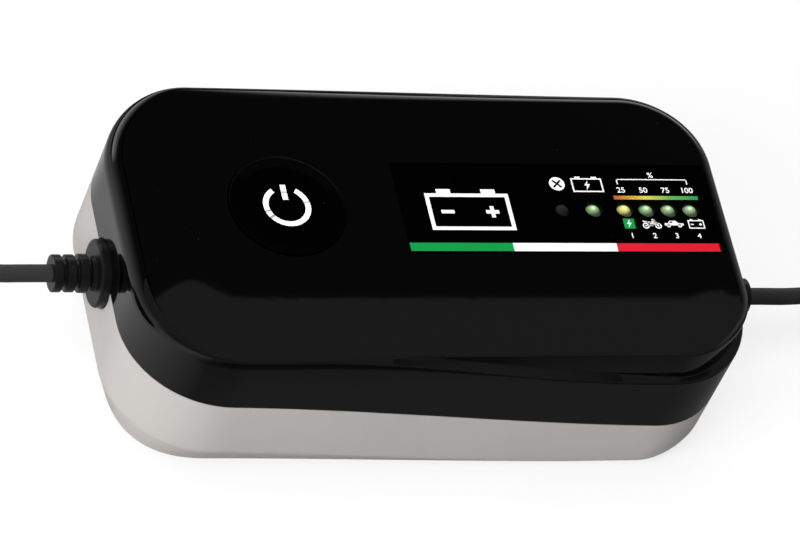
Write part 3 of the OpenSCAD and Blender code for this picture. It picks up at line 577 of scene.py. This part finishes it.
# A flat outline extruded from low to high
def addPlate(bm, points, low, high):
    face = bm.faces.new([bm.verts.new((x, y, low)) for x, y in points])
    made = bmesh.ops.extrude_face_region(bm, geom=[face])
    raised = [item for item in made["geom"] if isinstance(item, bmesh.types.BMVert)]
    bmesh.ops.translate(bm, verts=raised, vec=(0, 0, high - low))


def makeShell():
    shell = newLoft("baseShell", shellSection)
    bosses, recesses = [], []
    profile = [(0, -1), (3.6, -1), (3.6, 0), (3.3, 0.3), (3.3, 8), (1.6, 8), (1.6, 19), (0, 19)]
    for x, y in ((83, 33), (-83, 33), (-83, -33), (83, -33)):
        bosses.append(newSpun("cutter", rod(4, 1, 18), (x, y, 0)))
        recesses.append(newSpun("cutter", profile, (x, y, 0)))
    cutWith(shell, bosses, "UNION")
    cutWith(shell, recesses + glandCutters())
    finishPiece(shell, "shellPlastic", ("lower_shell",), sharpAngle=30)


makeCover()
makeShell()
print("case made")


# Label, lamps and button
def makeLabel():
    label = labelPlate("labelFilm", topHeight, 0.1)
    cutWith(label, lampCutters(2.72, 2))
    finishPiece(label, "labelFilm", ("label_panel",), sharpAngle=30)


lampLook = {
    "radius": 2.5,
    "top": 53.9,
    "slots": ("lamp_off", "lamp_green", "lamp_yellow", "lamp_green", "lamp_green", "lamp_green"),
    "unlit": 0.0098,
    # colour in the middle, round it and at the edge
    "lamp_green": ((0.9, 1.1, 0.78, 1), (0.27, 0.50, 0.20, 1), (0.04, 0.055, 0.035, 1)),
    "lamp_yellow": ((1, 1, 0.6, 1), (0.82, 0.78, 0.16, 1), (0.06, 0.06, 0.03, 1)),
    "glowOffset": (-0.35, 0.15),  # the glow sits a little off the middle of the lens
    "glowReach": 2.15,
    "strength": 1.0,
}


# Lens that glows from inside: pale in the middle, coloured round it, dark at the edge
def makeLensMaterial(name, place, slotName):
    tree, shader = newMaterial(name)
    if slotName == "lamp_off":
        setInputs(shader, {"Base Color": grey(lampLook["unlit"]), "Roughness": 0.6, "IOR": 1.5,
                                 "Specular IOR Level": 0.15})
        return
    pale, middle, edge = lampLook[slotName]
    offset = lampLook["glowOffset"]
    vector = objectCoords(tree, (place + offset[0], lampRow + offset[1], lampLook["top"]))
    flat = addNode(tree, "VectorMath", {0: vector, 1: (1, 1.15, 0)}, operation="MULTIPLY")["Vector"]
    distance = addNode(tree, "VectorMath", {0: flat}, operation="LENGTH")["Value"]
    reach = mathNode("MULTIPLY_ADD", noiseNode(vector, 1500, detail=2), 0.0004, distance)
    position = rangeNode(reach, 0.0002, lampLook["glowReach"] * mm + 0.0002, 0, 1)
    stops = ((0.1, pale), (0.42, middle), (0.8, tinted(middle[:3], 0.45)), (1, edge))
    setInputs(shader, {
        "Base Color": grey(0.02),
        "Roughness": 0.25,
        "IOR": 1.5,
        "Coat Weight": 0.3,
        "Emission Color": rampNode(position, stops),
        "Emission Strength": lampLook["strength"],
    })


def makeLens(number):
    x, slotName, node = lampPlaces[number - 1], lampLook["slots"][number - 1], "led_%d" % number
    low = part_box(node)[0].z / mm + 2.1
    radius, top = lampLook["radius"], lampLook["top"]
    profile = [(0, low), (radius + 0.4, low), (radius + 0.4, low + 1), (radius, low + 1), (radius, top - radius)]
    profile += arcPoints(0, top - radius, radius, 0, 90, 10)[1:]
    bm = bmesh.new()
    for side in (-1.27, 1.27):
        leg = bmesh.ops.create_cone(bm, cap_ends=True, segments=12, radius1=0.3, radius2=0.3, depth=2.1)
        bmesh.ops.translate(bm, verts=leg["verts"], vec=(x + side, lampRow, low - 1.05))
    lens = newSpun("lampLens%d" % number, profile, (x, lampRow, 0), steps=40, bm=bm)
    makeLensMaterial("lens%d" % number, x, slotName)
    finishPiece(lens, "lens%d" % number, (node,))


buttonLook = {
    "radius": 17.3,
    "rim": 0.15,
    "faceRadius": 14.7,
    "top": 54,
    "dish": 0.3,
    "symbolRadius": 6.4,
    "symbolStroke": 1.7,
    "symbolGap": 32,  # degrees open on each side of the bar
    "barStart": 2.2,
}


# Height of the button's face at a distance from its middle
def dishHeight(radius):
    share = min(radius / buttonLook["faceRadius"], 1)
    return buttonLook["top"] - buttonLook["dish"] * (1 - 0.5 * share * share)


def makeButton():
    radius, rim, top = buttonLook["radius"], buttonLook["rim"], buttonLook["top"]
    profile = [(0, 47.9), (4, 47.9), (4, 50), (19, 50), (19, 51), (radius, 51)]
    profile += arcPoints(radius - rim, top - rim, rim, 0, 90, 8)
    face = [buttonLook["faceRadius"] * i / 12 for i in range(12, -1, -1)]
    profile += [(reach, dishHeight(reach)) for reach in face]
    cap = newSpun("modeButtonCap", profile, (*buttonPlace, 0), steps=128)
    finishPiece(cap, "buttonGloss", ("mode_button",), sharpAngle=40, body="button")


# Printed marks
printed = {
    "thickness": 0.03,
    "stripe": {"x": (-9.2, 22.9, 55.6, 88.4), "y": (-9.8, -6.85)},
    "gauge": {"x": (58.8, 85.9), "y": (9.2, 10.55)},
    "bracket": {"x": (61.2, 83.6), "y": (15.0, 16.6), "stroke": 0.34},
    "numbers": {"x": (61.8, 68.9, 76.0, 82.9), "values": ("25", "50", "75", "100"), "y": 11.75, "size": 2.75},
    "percent": {"x": 72.4, "y": 17.3, "size": 2.7},
    "disc": {"place": (41.8, 14.8), "radius": 2.45, "cross": 1.05, "stroke": 0.62},
    "smallBattery": {"place": (51.4, 14.4), "size": (9.4, 4.6), "stroke": 0.45},
    "bigBattery": {"place": (12.2, 4.4), "size": (25, 12), "stroke": 1.25},
    "symbols": {"x": (61.5, 68.7, 75.8, 83.0), "y": 0.35, "scale": 1.12},
    "digits": {"y": -4.9, "size": 2.6},
    "lift": 0.02,  # of a mark that lies on another one
}


def makeGaugeMaterial():
    tree, shader = newMaterial("gaugeInk")
    x = addNode(tree, "SeparateXYZ", {0: objectCoords(tree)})["X"]
    start, end = printed["gauge"]["x"]
    stops = ((0, (0.46, 0.09, 0.03, 1)), (0.16, (0.55, 0.25, 0.035, 1)), (0.38, (0.62, 0.56, 0.08, 1)),
             (0.66, (0.12, 0.4, 0.08, 1)), (1, (0.02, 0.27, 0.066, 1)))
    colour = rampNode(rangeNode(x, start * mm, end * mm, 0, 1), stops)
    setInputs(shader, {"Base Color": colour, "Roughness": 0.4, "Specular IOR Level": 0.12})


def addMark(bm, points, lift=0):
    addPlate(bm, points, topHeight - 0.01 + lift, topHeight + printed["thickness"] + lift)


def addBar(bm, x0, x1, y0, y1):
    addMark(bm, [(x0, y0), (x1, y0), (x1, y1), (x0, y1)])


# A line of even width along the points, one plate per run
def addStroke(bm, points, width, lift=0):
    for a, b in zip(points, points[1:]):
        run = Vector((b[0] - a[0], b[1] - a[1])).normalized() * width / 2
        side = Vector((-run.y, run.x))
        a, b = Vector(a) - run, Vector(b) + run
        addMark(bm, [a + side, a - side, b - side, b + side], lift)


def addArcMark(bm, x, y, radius, stroke, steps, start=0, end=360):
    outer = arcPoints(x, y, radius + stroke / 2, start, end, steps)
    inner = arcPoints(x, y, radius - stroke / 2, start, end, steps)
    for i in range(steps):
        addMark(bm, [inner[i], outer[i], outer[i + 1], inner[i + 1]])


# Words centred on x, standing on the line y
def addText(bm, words, x, y, size):
    data = bpy.data.curves.new("words", "FONT")
    data.body = words
    data.size = size
    data.align_x = "CENTER"
    data.offset = size * 0.012
    data.extrude = printed["thickness"] / 2
    letters = addObject("words", data)
    first = len(bm.verts)
    bm.from_mesh(evaluatedMesh(letters))
    bm.verts.ensure_lookup_table()
    bmesh.ops.translate(bm, verts=bm.verts[first:], vec=(x, y, topHeight + printed["thickness"] / 2))
    bpy.data.objects.remove(letters)
    bpy.data.curves.remove(data)


# Points of a pictogram, moved to x and y and scaled
def placed(points, x, y, scale):
    return [(x + px * scale, y + py * scale) for px, py in points]


def addBolt(bm, x, y, height, lift=0):
    shape = [(0.12, 0.5), (-0.26, -0.04), (-0.03, -0.04), (-0.14, -0.5), (0.27, 0.1), (0.03, 0.1)]
    for part in (shape[:3] + shape[5:], shape[2:]):
        addMark(bm, placed(part, x, y, height), lift)


# Outline of a battery with two terminals, and plus and minus signs
def addBattery(bm, x, y, width, height, stroke, signs=True):
    half = stroke / 2
    left, right, low, high = x - width / 2, x + width / 2, y - height / 2, y + height / 2
    for level in (low, high):
        addBar(bm, left - half, right + half, level - half, level + half)
    for edge in (left, right):
        addBar(bm, edge - half, edge + half, low + half, high - half)
    minus, plus = x - width * 0.28, x + width * 0.28
    for px in (minus, plus):
        addBar(bm, px - width * 0.09, px + width * 0.09, high + half, high + half + height * 0.13)
    if signs:
        size = height * 0.17
        addBar(bm, minus - size, minus + size, y - half, y + half)
        addBar(bm, plus - half, plus + half, y - size, y + size)
        addBar(bm, plus - size, plus - half, y - half, y + half)
        addBar(bm, plus + half, plus + size, y - half, y + half)


def addMotorcycle(bm, x, y, scale):
    for wheel in (-1.75, 1.75):
        addArcMark(bm, x + wheel * scale, y - 0.65 * scale, 0.78 * scale, 0.36 * scale, 24)
    body = [
        [(-1.75, -0.65), (-0.6, -0.35), (0.5, -0.5), (1.1, 0.7), (1.75, -0.65)],
        [(1.1, 0.7), (0.85, 1.25), (0.45, 1.3)],
        [(-2.2, 0.75), (-1.2, 0.55), (-0.3, 0.5), (0.9, 0.75)],
    ]
    for line in body:
        addStroke(bm, placed(line, x, y, scale), 0.42 * scale)
    engine = [(-0.75, -0.75), (0.55, -0.75), (0.95, 0.65), (-0.5, 0.55)]
    addMark(bm, placed(engine, x, y, scale))


def addCar(bm, glassBm, x, y, scale):
    body = [(-2.75, -0.55), (2.75, -0.55), (2.75, 0.1), (1.55, 0.25), (-2.6, 0.2)]
    roof = [(-1.75, 0.2), (1.4, 0.2), (0.55, 1.0), (-1.05, 1.0)]
    glass = [(-1.3, 0.3), (-0.3, 0.3), (-0.3, 0.78), (-0.92, 0.78)]
    for part in (body, roof):
        addMark(bm, placed(part, x, y, scale))
    for wheel in (-1.6, 1.6):
        addArcMark(bm, x + wheel * scale, y - 0.62 * scale, 0.42 * scale, 0.3 * scale, 20)
    addMark(glassBm, placed(glass, x, y, scale), printed["lift"])


def addGaugeMarks(whites, blacks):
    bracket = printed["bracket"]
    x0, x1 = bracket["x"]
    y0, y1 = bracket["y"]
    addStroke(whites, [(x0, y0), (x0, y1), (x1, y1), (x1, y0)], bracket["stroke"])
    numbers = printed["numbers"]
    for at, value in zip(numbers["x"], numbers["values"]):
        addText(whites, value, at, numbers["y"], numbers["size"])
    addText(whites, "%", **printed["percent"])
    disc = printed["disc"]
    x, y = disc["place"]
    addMark(whites, arcPoints(x, y, disc["radius"], 0, 351, 39))
    for way in (1, -1):
        corners = placed([(-1, -way), (1, way)], x, y, disc["cross"])
        addStroke(blacks, corners, disc["stroke"], printed["lift"])


def makePrints():
    whites, blacks, greens, reds, gauge = (bmesh.new() for ink in range(5))
    x = printed["stripe"]["x"]
    for bm, start, end in zip((greens, whites, reds), x, x[1:]):
        addBar(bm, start, end, *printed["stripe"]["y"])
    addBar(gauge, *printed["gauge"]["x"], *printed["gauge"]["y"])
    addGaugeMarks(whites, blacks)
    small, big = printed["smallBattery"], printed["bigBattery"]
    addBattery(whites, *small["place"], *small["size"], small["stroke"], signs=False)
    addBolt(whites, *small["place"], small["size"][1] * 0.8)
    addBattery(whites, *big["place"], *big["size"], big["stroke"])
    symbols = printed["symbols"]
    y, scale = symbols["y"], symbols["scale"]
    first, second, third, fourth = symbols["x"]
    addBar(greens, first - 1.75, first + 1.75, y - 1.8, y + 1.8)
    addBolt(whites, first, y, 3.1, printed["lift"])
    addMotorcycle(whites, second, y, scale)
    addCar(whites, blacks, third, y, scale)
    addBattery(whites, fourth, y - 0.2, 4.8, 2.7, 0.36)
    for at, digit in zip(symbols["x"], "1234"):
        addText(whites, digit, at, **printed["digits"])
    makeGaugeMaterial()
    for bm, name, ink in ((whites, "whiteMarks", "whiteInk"), (blacks, "blackMarks", "labelFilm"),
                          (greens, "greenMarks", "greenInk"), (reds, "redMarks", "redInk"),
                          (gauge, "gaugeMark", "gaugeInk")):
        finishPiece(newObject(bm, name), ink, sharpAngle=20, weighted=False)


# On-off symbol, laid on the dish of the button
def makeSymbol():
    bm = bmesh.new()
    radius, stroke, gap = buttonLook["symbolRadius"], buttonLook["symbolStroke"], buttonLook["symbolGap"]
    addArcMark(bm, 0, 0, radius, stroke, 64, start=90 + gap, end=450 - gap)
    low, run = buttonLook["barStart"], radius + stroke / 2 - 1.9
    for i in range(8):
        addBar(bm, -stroke / 2, stroke / 2, low + run * i / 8, low + run * (i + 1) / 8)
    for vert in bm.verts:
        vert.co.z += dishHeight(math.hypot(vert.co.x, vert.co.y)) - topHeight
    bmesh.ops.translate(bm, verts=bm.verts, vec=(*buttonPlace, 0))
    symbol = newObject(bm, "buttonSymbol")
    finishPiece(symbol, "whiteInk", sharpAngle=20, weighted=False, body="button")


makeLabel()
for lampNumber in range(1, 7):
    makeLens(lampNumber)
makeButton()
makePrints()
makeSymbol()
print("label, lamps, button and marks made")


# Glands
glandShape = {
    "ends": {-1: 110.2, 1: 111.8},
    "neck": 3.9,
    "ribs": (5.7, 5.5, 5.5),
    "ribWidth": 2.6,
    "ribPitch": 3.9,
    "ribSoftness": 0.35,
    "flange": 10,
    "flangeSpan": (93.8, 97.7),
    "boss": (5.15, 98.75),
    "steps": 96,
}


def makeGland(name, node, side, height):
    shape = glandShape
    inside = halfLength - 2.2
    end, neck, soft = shape["ends"][side], shape["neck"], shape["ribSoftness"]
    flange, boss, bossEnd = shape["flange"], *shape["boss"]
    low, high = shape["flangeSpan"]
    profile = [(0, inside - 2), (8.5, inside - 2), (8.5, inside), (6.5, inside), (6.5, low), (flange - 0.3, low),
               (flange, low + 0.3)]
    profile += [(flange - 1 + c, high - 0.75 + 0.75 * s) for c, s in arcPoints(0, 0, 1, 0, 90, 8)]
    profile += arcPoints(boss + 0.35, high + 0.35, 0.35, 270, 180, 8)
    profile += arcPoints(boss - 0.3, bossEnd - 0.3, 0.3, 0, 90, 8)
    profile += [(neck + 0.3, bossEnd), (neck, bossEnd + 0.3)]
    for index, radius in enumerate(shape["ribs"]):
        last = end - shape["ribPitch"] * (2 - index)
        start = last - shape["ribWidth"]
        profile += [(neck, start - 0.2), (neck + 0.2, start)]
        profile += arcPoints(radius - soft, start + soft, soft, -90, 0, 8)
        profile += arcPoints(radius - soft, last - soft, soft, 0, 90, 8)
        if index < 2:
            profile += [(neck + 0.2, last), (neck, last + 0.2)]
    profile.append((0, end))
    gland = newSpun(name, profile, (0, 0, height), (side, 0, 0), shape["steps"])
    finishPiece(gland, "glandRubber", (node,), sharpAngle=50)


makeGland("mainsStrainRelief", "mains_gland", -1, glandHeights["mains"])
makeGland("outputStrainRelief", "output_gland", 1, glandHeights["output"])
print("glands made")


# Plug and connector
plugShape = {
    "axis": (-227, 26.6, 6.85),  # where the lead enters, heading towards -X
    "length": 35,
    "pinSpacing": 18.6,
    "pinRadius": 2,
    "seatRadius": 1.62,
    "pinLength": 19,
    "sleeve": 10,
    # distance along the plug, half width, half height, corner radius
    "sections": (
        (0, 5.5, 4.0, 3.8), (0.5, 5.95, 4.4, 4.1), (7, 6.6, 5.0, 4.3), (11, 8.5, 5.5, 4.4), (15, 10.4, 6.0, 4.6),
        (18.5, 11.5, 6.5, 4.8), (22, 12.4, 6.8, 4.8), (26, 12.95, 6.85, 4.8), (33.8, 13, 6.85, 4.8),
        (34.7, 12.75, 6.6, 4.6), (35, 12.3, 6.2, 4.3),
    ),
    "grooves": (15, 18, 21),
    "grooveDepthFrom": 9.3,
}
connectorShape = {
    "axis": (226.5, 37.2, 4.6),  # where the lead enters, heading towards +X
    "length": 20,
    "spacing": 8,
    "holes": (2.85, 1.62),  # radius of the front and rear one
    "sections": (
        (0, 4.0, 4.3, 3.2), (0.4, 4.2, 4.5, 3.4), (5, 4.7, 4.6, 3.6), (6.5, 5.8, 4.6, 3.4), (8, 7.6, 4.6, 3.2),
        (19.3, 8.0, 4.6, 2.6), (20, 7.6, 4.2, 2.4),
    ),
}


# Rounded rectangles joined along X; way is 1 or -1
def newRoundedLoft(name, axis, way, sections):
    bm = bmesh.new()
    rings = []
    for along, halfY, halfZ, radius in sections:
        cy, cz = halfY - radius, halfZ - radius
        points = []
        for sy, sz, start in ((1, 1, 0), (-1, 1, 90), (-1, -1, 180), (1, -1, 270)):
            points += arcPoints(sy * cy, sz * cz, radius, start, start + 90, 6)
        rings.append(addRing(bm, [(axis[0] + way * along, axis[1] + y, axis[2] + z) for y, z in points]))
    loftRings(bm, rings)
    return newObject(bm, name)


def boxCutter(low, high):
    bm = bmesh.new()
    bmesh.ops.create_cube(bm, size=1)
    bmesh.ops.scale(bm, vec=[b - a for a, b in zip(low, high)], verts=bm.verts)
    bmesh.ops.translate(bm, verts=bm.verts, vec=[(a + b) / 2 for a, b in zip(low, high)])
    return newObject(bm, "cutter")


def makePlug():
    shape = plugShape
    x, middle, z = shape["axis"]
    end = x - shape["length"]
    body = newRoundedLoft("mainsPlug", shape["axis"], -1, shape["sections"])
    places = {side: (end, middle + side * shape["pinSpacing"] / 2, z) for side in (-1, 1)}
    cutters = []
    for side, place in places.items():
        cutters.append(newSpun("cutter", rod(shape["seatRadius"], -6, 1), place, (-1, 0, 0), 40))
        for along in shape["grooves"]:
            y0, y1 = sorted((middle + side * shape["grooveDepthFrom"], middle + side * 19))
            cutters.append(boxCutter((x - along - 0.5, y0, z - 8), (x - along + 0.5, y1, z + 8)))
    cutWith(body, cutters)
    pieces = [finishPiece(body, "plugPlastic", ("plug_body",), sharpAngle=35)]
    radius, sleeve, tipEnd = shape["pinRadius"], shape["sleeve"], shape["pinLength"]
    for number, place in ((1, places[1]), (2, places[-1])):
        cover = [(1.6, -6), (1.6, 0), (radius, 0), (radius, sleeve - 0.15), (radius - 0.15, sleeve), (1.4, sleeve),
                 (1.4, -6), (1.6, -6)]
        pinSleeve = newSpun("pinSleeve%d" % number, cover, place, (-1, 0, 0), 40)
        pieces.append(finishPiece(pinSleeve, "plugPlastic"))
        core = [(0, -6), (1.4, -6), (1.4, sleeve), (radius, sleeve)]
        core += arcPoints(radius - 1.2, tipEnd - 1.2, 1.2, 0, 90, 8) + [(0, tipEnd)]
        pin = newSpun("plugPin%d" % number, core, place, (-1, 0, 0), 40)
        node = "plug_pin_1" if abs(place[1] - centreOf("plug_pin_1").y / mm) < 1 else "plug_pin_2"
        pieces.append(finishPiece(pin, "nickelPlate", (node,)))
    return pieces


def centreOf(node):
    low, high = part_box(node)
    return (low + high) / 2


def makeConnector():
    shape = connectorShape
    x, middle, z = shape["axis"]
    end = x + shape["length"]
    body = newRoundedLoft("outputConnector", shape["axis"], 1, shape["sections"])
    shroud = [(0, -2), (3.8, -2), (3.8, 9.7), (3.5, 10), (0, 10)]
    front, rear = [(end, middle + side * shape["spacing"] / 2, z) for side in (-1, 1)]
    cutWith(body, [newSpun("cutter", shroud, front, (1, 0, 0))], "UNION")
    cutWith(body, [newSpun("cutter", rod(radius, -5, 12), place, (1, 0, 0), 40)
                   for place, radius in zip((front, rear), shape["holes"])])
    return finishPiece(body, "plugPlastic", ("connector_body",), sharpAngle=35)


plugPieces = makePlug()
connectorPieces = [makeConnector(), nodes["connector_pin"], nodes["connector_socket"]]
print("plug and connector made")


# Leads
cordShape = {
    "diameter": 5.3,
    "turnPitch": 5.9,
    "layerPitch": 5.8,
    "pointsPerTurn": 24,
    "bevelResolution": 6,
}
leads = {
    "mainsLead": {
        "way": -1,
        "route": (
            (-110.2, 0, 28.6), (-117, 0, 28.6), (-127, 0, 28.6), (-134.5, 0.9, 28.2), (-141.6, 3.5, 27.1),
            (-147.9, 7.7, 25.7), (-153, 13.3, 24.3), (-158.1, 18.9, 22.9), (-164.4, 23.1, 21.5), (-171.5, 25.7, 20.4),
            (-179, 26.6, 20.05),
        ),
        "coil": {"centre": (-190, -10), "radius": 36.6, "turns": 2.25, "layers": 4},
        "tail": (
            (-200.6, 26.6, 2.65), (-206, 26.6, 3.3), (-211, 26.6, 4.75), (-216, 26.6, 6.2), (-221.5, 26.6, 6.85),
            (-227, 26.6, 6.85),
        ),
        "length": 1.82,
        "farEnd": "plug",
        "solids": ("mains_cord", "mains_coil", "mains_tail"),
        "pieces": plugPieces,
    },
    "outputLead": {
        "way": 1,
        "route": (
            (111.8, 0, 16.85), (117, 0, 16.85), (127, 0, 16.85), (136.1, 1.3, 16.4), (144.4, 5, 15.3),
            (151.4, 11, 13.9), (156.5, 18.6, 12.65), (161.6, 26.2, 11.4), (168.6, 32.2, 10), (176.9, 35.9, 8.9),
            (186, 37.2, 8.45),
        ),
        "coil": {"centre": (197, -4.8), "radius": 42, "turns": 3.5, "layers": 2},
        "tail": (
            (207.6, 37.2, 2.65), (211.5, 37.2, 3.1), (214.5, 37.2, 3.65), (217.5, 37.2, 4.2), (221, 37.2, 4.6),
            (226.5, 37.2, 4.6),
        ),
        "length": 1.52,
        "farEnd": "connector",
        "solids": ("output_cord", "output_coil", "output_tail"),
        "pieces": connectorPieces,
    },
}


# A coil that spirals in and out from the top, a layer lower at each reversal
def coilPoints(centre, radius, turns, layers, way):
    diameter, pitch = cordShape["diameter"], cordShape["layerPitch"]
    rear, top = centre[1] + radius, diameter / 2 + pitch * (layers - 1)
    points = [(centre[0] - way * diameter, rear, top)]
    for step in range(int(layers * turns * cordShape["pointsPerTurn"]) + 1):
        t = step / cordShape["pointsPerTurn"]
        layer = min(int(t / turns), layers - 1)
        part = t - layer * turns
        reach = radius - cordShape["turnPitch"] * (part if layer % 2 == 0 else turns - part)
        lowered = sum(smooth((t - i * turns) * 2 + 0.5) for i in range(1, layers))
        angle = math.radians(90 - way * 360 * t)
        points.append((centre[0] + reach * math.cos(angle), centre[1] + reach * math.sin(angle), top - pitch * lowered))
    points.append((centre[0] + way * diameter, rear, diameter / 2))
    return points


def makeLead(name, lead):
    points = [*lead["route"], *coilPoints(way=lead["way"], **lead["coil"]), *lead["tail"]]
    data = bpy.data.curves.new(name, "CURVE")
    data.dimensions = "3D"
    data.resolution_u = 4
    data.bevel_depth = cordShape["diameter"] / 2 * mm
    data.bevel_resolution = cordShape["bevelResolution"]
    data.use_fill_caps = True
    spline = data.splines.new("BEZIER")
    spline.bezier_points.add(len(points) - 1)
    for knot, point in zip(spline.bezier_points, points):
        knot.co = [value * mm for value in point]
        knot.handle_left_type = knot.handle_right_type = "AUTO"
    data.materials.append(bpy.data.materials["cordSheath"])
    leadPiece = addObject(name, data)
    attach(leadPiece, "charger")
    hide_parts(*lead["solids"])
    print(name, "length", round(spline.calc_length(), 4))


for leadName, leadValues in leads.items():
    makeLead(leadName, leadValues)
print("leads made")


# Materials of the remaining CAD nodes
nodeMaterials = {
    "platedSteel": "button_spring display_screws case_screw_1 case_screw_2 case_screw_3 case_screw_4 "
                   "board_screw_1 board_screw_2 board_screw_3 board_screw_4",
    "innerPlastic": "switch_plunger button_guide tact_switch board_link bridge_rectifier power_transistor "
                    "rectifier_diode cover_gasket",
    "circuitBoard": "display_board main_board",
    "ferrite": "transformer_core choke_core",
    "windingCopper": "transformer_winding choke_winding mains_conductors output_conductors",
    "capacitorBox": "x_capacitor",
    "nickelPlate": "line_fuse",
    "capacitorSleeve": "input_capacitor output_capacitor_1 output_capacitor_2",
    "heatsinkAluminium": "heatsink_primary heatsink_secondary",
    "contactBrass": "connector_pin connector_socket",
}
for materialName, nodeNames in nodeMaterials.items():
    for nodeName in nodeNames.split():
        for materialSlot in nodes[nodeName].material_slots:
            materialSlot.material = bpy.data.materials[materialName]
print("node materials set")


# Surroundings
studio = {
    "tableTone": 0.7,
    "tableWhite": 0.75,  # share of plain white that the camera sees near the object; the rest shows the shadow
    "shadowReach": (0.3, 0.8),  # metres from the middle over which the floor turns plain white
    "tableGloss": (0.13, 0.6),  # how bright glossy faces see the table, in front and to the left
    "cardTone": 0.2,
    "cardHeight": 1.05,
    # far edge of the overhead card, in millimetres
    "cardEdge": ((272, 640), (280.7, 668.4), (285.8, 674.9), (290.6, 680.1), (297.7, 685.3), (304.7, 689.9),
                 (313.1, 693.2), (321.1, 690.6), (327.5, 686), (334.6, 682), (350.2, 681), (600.7, 681), (610.6, 684.5),
                 (620.2, 686.5), (626.4, 682.4), (1500, 640)),
    "horizon": 0.55,
    "room": 0.016,
    "rearBar": 2.9,
    "keyPower": 12,
    "fillPower": 13,
}


def stagePiece(name, bm, material):
    piece = meshObject(bm, name)
    piece.data.materials.append(material)
    return piece


# Empties the tree of a material or world
def clearedTree(owner):
    owner.use_nodes = True
    owner.node_tree.nodes.clear()
    return owner.node_tree


def plainShader(tree, kind, colour):
    return addNode(tree, kind, {"Color": colour})[0]


# The first shader where the factor is 0, the second where it is 1
def mixShader(factor, first, second):
    return addNode(factor.id_data, "MixShader", {0: factor, 1: first, 2: second})[0]


# Pale table: white to the camera with the object's shadow kept, softer in the reflections
def makeTable():
    material = bpy.data.materials.new("paleTable")
    tree = clearedTree(material)
    parts = addNode(tree, "SeparateXYZ", {0: objectCoords(tree)})
    x, y = parts["X"], parts["Y"]
    front, left = studio["tableGloss"]
    leaning = mathNode("MULTIPLY_ADD", y, -0.35, x)  # the left part's edge slants
    side = mathNode("MAXIMUM", rangeNode(leaning, -0.06, -0.125, front, left), rangeNode(y, 0.04, 0.06, 0, left))
    # Dimmer far behind and close in front, but not on the left
    behind = mathNode("MAXIMUM", rangeNode(y, 0.11, 0.2, 1, 0.04), rangeNode(x, -0.15, -0.25, 0, 1))
    ahead = mathNode("MAXIMUM", rangeNode(y, -0.078, -0.105, 1, 0.3), rangeNode(x, -0.08, -0.12, 0, 1))
    glow = mathNode("MULTIPLY", side, mathNode("MULTIPLY", behind, ahead))
    away = addNode(tree, "VectorMath", {0: objectCoords(tree)}, operation="LENGTH")["Value"]
    share = rangeNode(away, *studio["shadowReach"], studio["tableWhite"], 1)
    path = addNode(tree, "LightPath")
    shown = mixShader(share, plainShader(tree, "BsdfDiffuse", grey(1)), plainShader(tree, "Emission", grey(1)))
    mirrored = mixShader(path["Is Glossy Ray"], plainShader(tree, "BsdfDiffuse", grey(studio["tableTone"])),
                         plainShader(tree, "Emission", glow))
    addNode(tree, "OutputMaterial", {0: mixShader(path["Is Camera Ray"], mirrored, shown)})
    bm = bmesh.new()
    bmesh.ops.create_grid(bm, x_segments=1, y_segments=1, size=4)
    stagePiece("table", bm, material)


# Dim card overhead, seen only in reflections, whose far edge shows in the cover
def makeCard():
    material = bpy.data.materials.new("dimCard")
    tree = clearedTree(material)
    addNode(tree, "OutputMaterial", {0: plainShader(tree, "Emission", grey(studio["cardTone"]))})
    points = [(-1500, -1500), (1500, -1500)] + list(reversed(studio["cardEdge"])) + [(-1500, 640)]
    bm = bmesh.new()
    bm.faces.new([bm.verts.new((x * mm, y * mm, studio["cardHeight"])) for x, y in points])
    card = stagePiece("overheadCard", bm, material)
    card.visible_camera = card.visible_diffuse = card.visible_shadow = card.visible_transmission = False


# White to the camera; glossy faces see a pale rear horizon and a dark room
def makeWorld():
    world = bpy.data.worlds.new("studio")
    bpy.context.scene.world = world
    tree = clearedTree(world)
    parts = addNode(tree, "SeparateXYZ", {0: addNode(tree, "TexCoord")["Generated"]})
    y, z = parts["Y"], parts["Z"]
    band = mathNode("MULTIPLY", rangeNode(y, 0.62, 0.8, 1, 0), rangeNode(y, -0.1, -0.4, 1, 0.4))
    glow = mathNode("MULTIPLY_ADD", band, rangeNode(z, 0, 0.74, studio["horizon"], 0), studio["room"])
    bar = rangeNode(y, 0.6, 0.72, 0, studio["rearBar"])
    for low, high, first, last in ((0.2, 0.26, 0, 1), (0.28, 0.7, 1, 0)):
        bar = mathNode("MULTIPLY", bar, rangeNode(z, low, high, first, last))
    room = plainShader(tree, "Background", mathNode("ADD", glow, bar))
    seen = addNode(tree, "LightPath")["Is Camera Ray"]
    addNode(tree, "OutputWorld", {0: mixShader(seen, room, plainShader(tree, "Background", grey(1)))})


# Area lamp, not mirrored in glossy faces
def makeLamp(name, place, size, power):
    data = bpy.data.lights.new(name, "AREA")
    data.shape = "RECTANGLE"
    data.size, data.size_y = size
    data.energy = power
    lamp = addObject(name, data)
    lamp.location = place
    lamp.rotation_mode = "QUATERNION"
    lamp.rotation_quaternion = (Vector((0, 0, 0.03)) - Vector(place)).to_track_quat("-Z", "Y")
    lamp.visible_glossy = False


makeTable()
makeCard()
makeWorld()
makeLamp("keyLamp", (-0.85, -0.55, 0.65), (0.7, 0.7), studio["keyPower"])
makeLamp("fillLamp", (-0.1, 0.15, 1.3), (1.4, 1.0), studio["fillPower"])
bpy.context.scene.view_settings.view_transform = "Standard"
print("studio made")
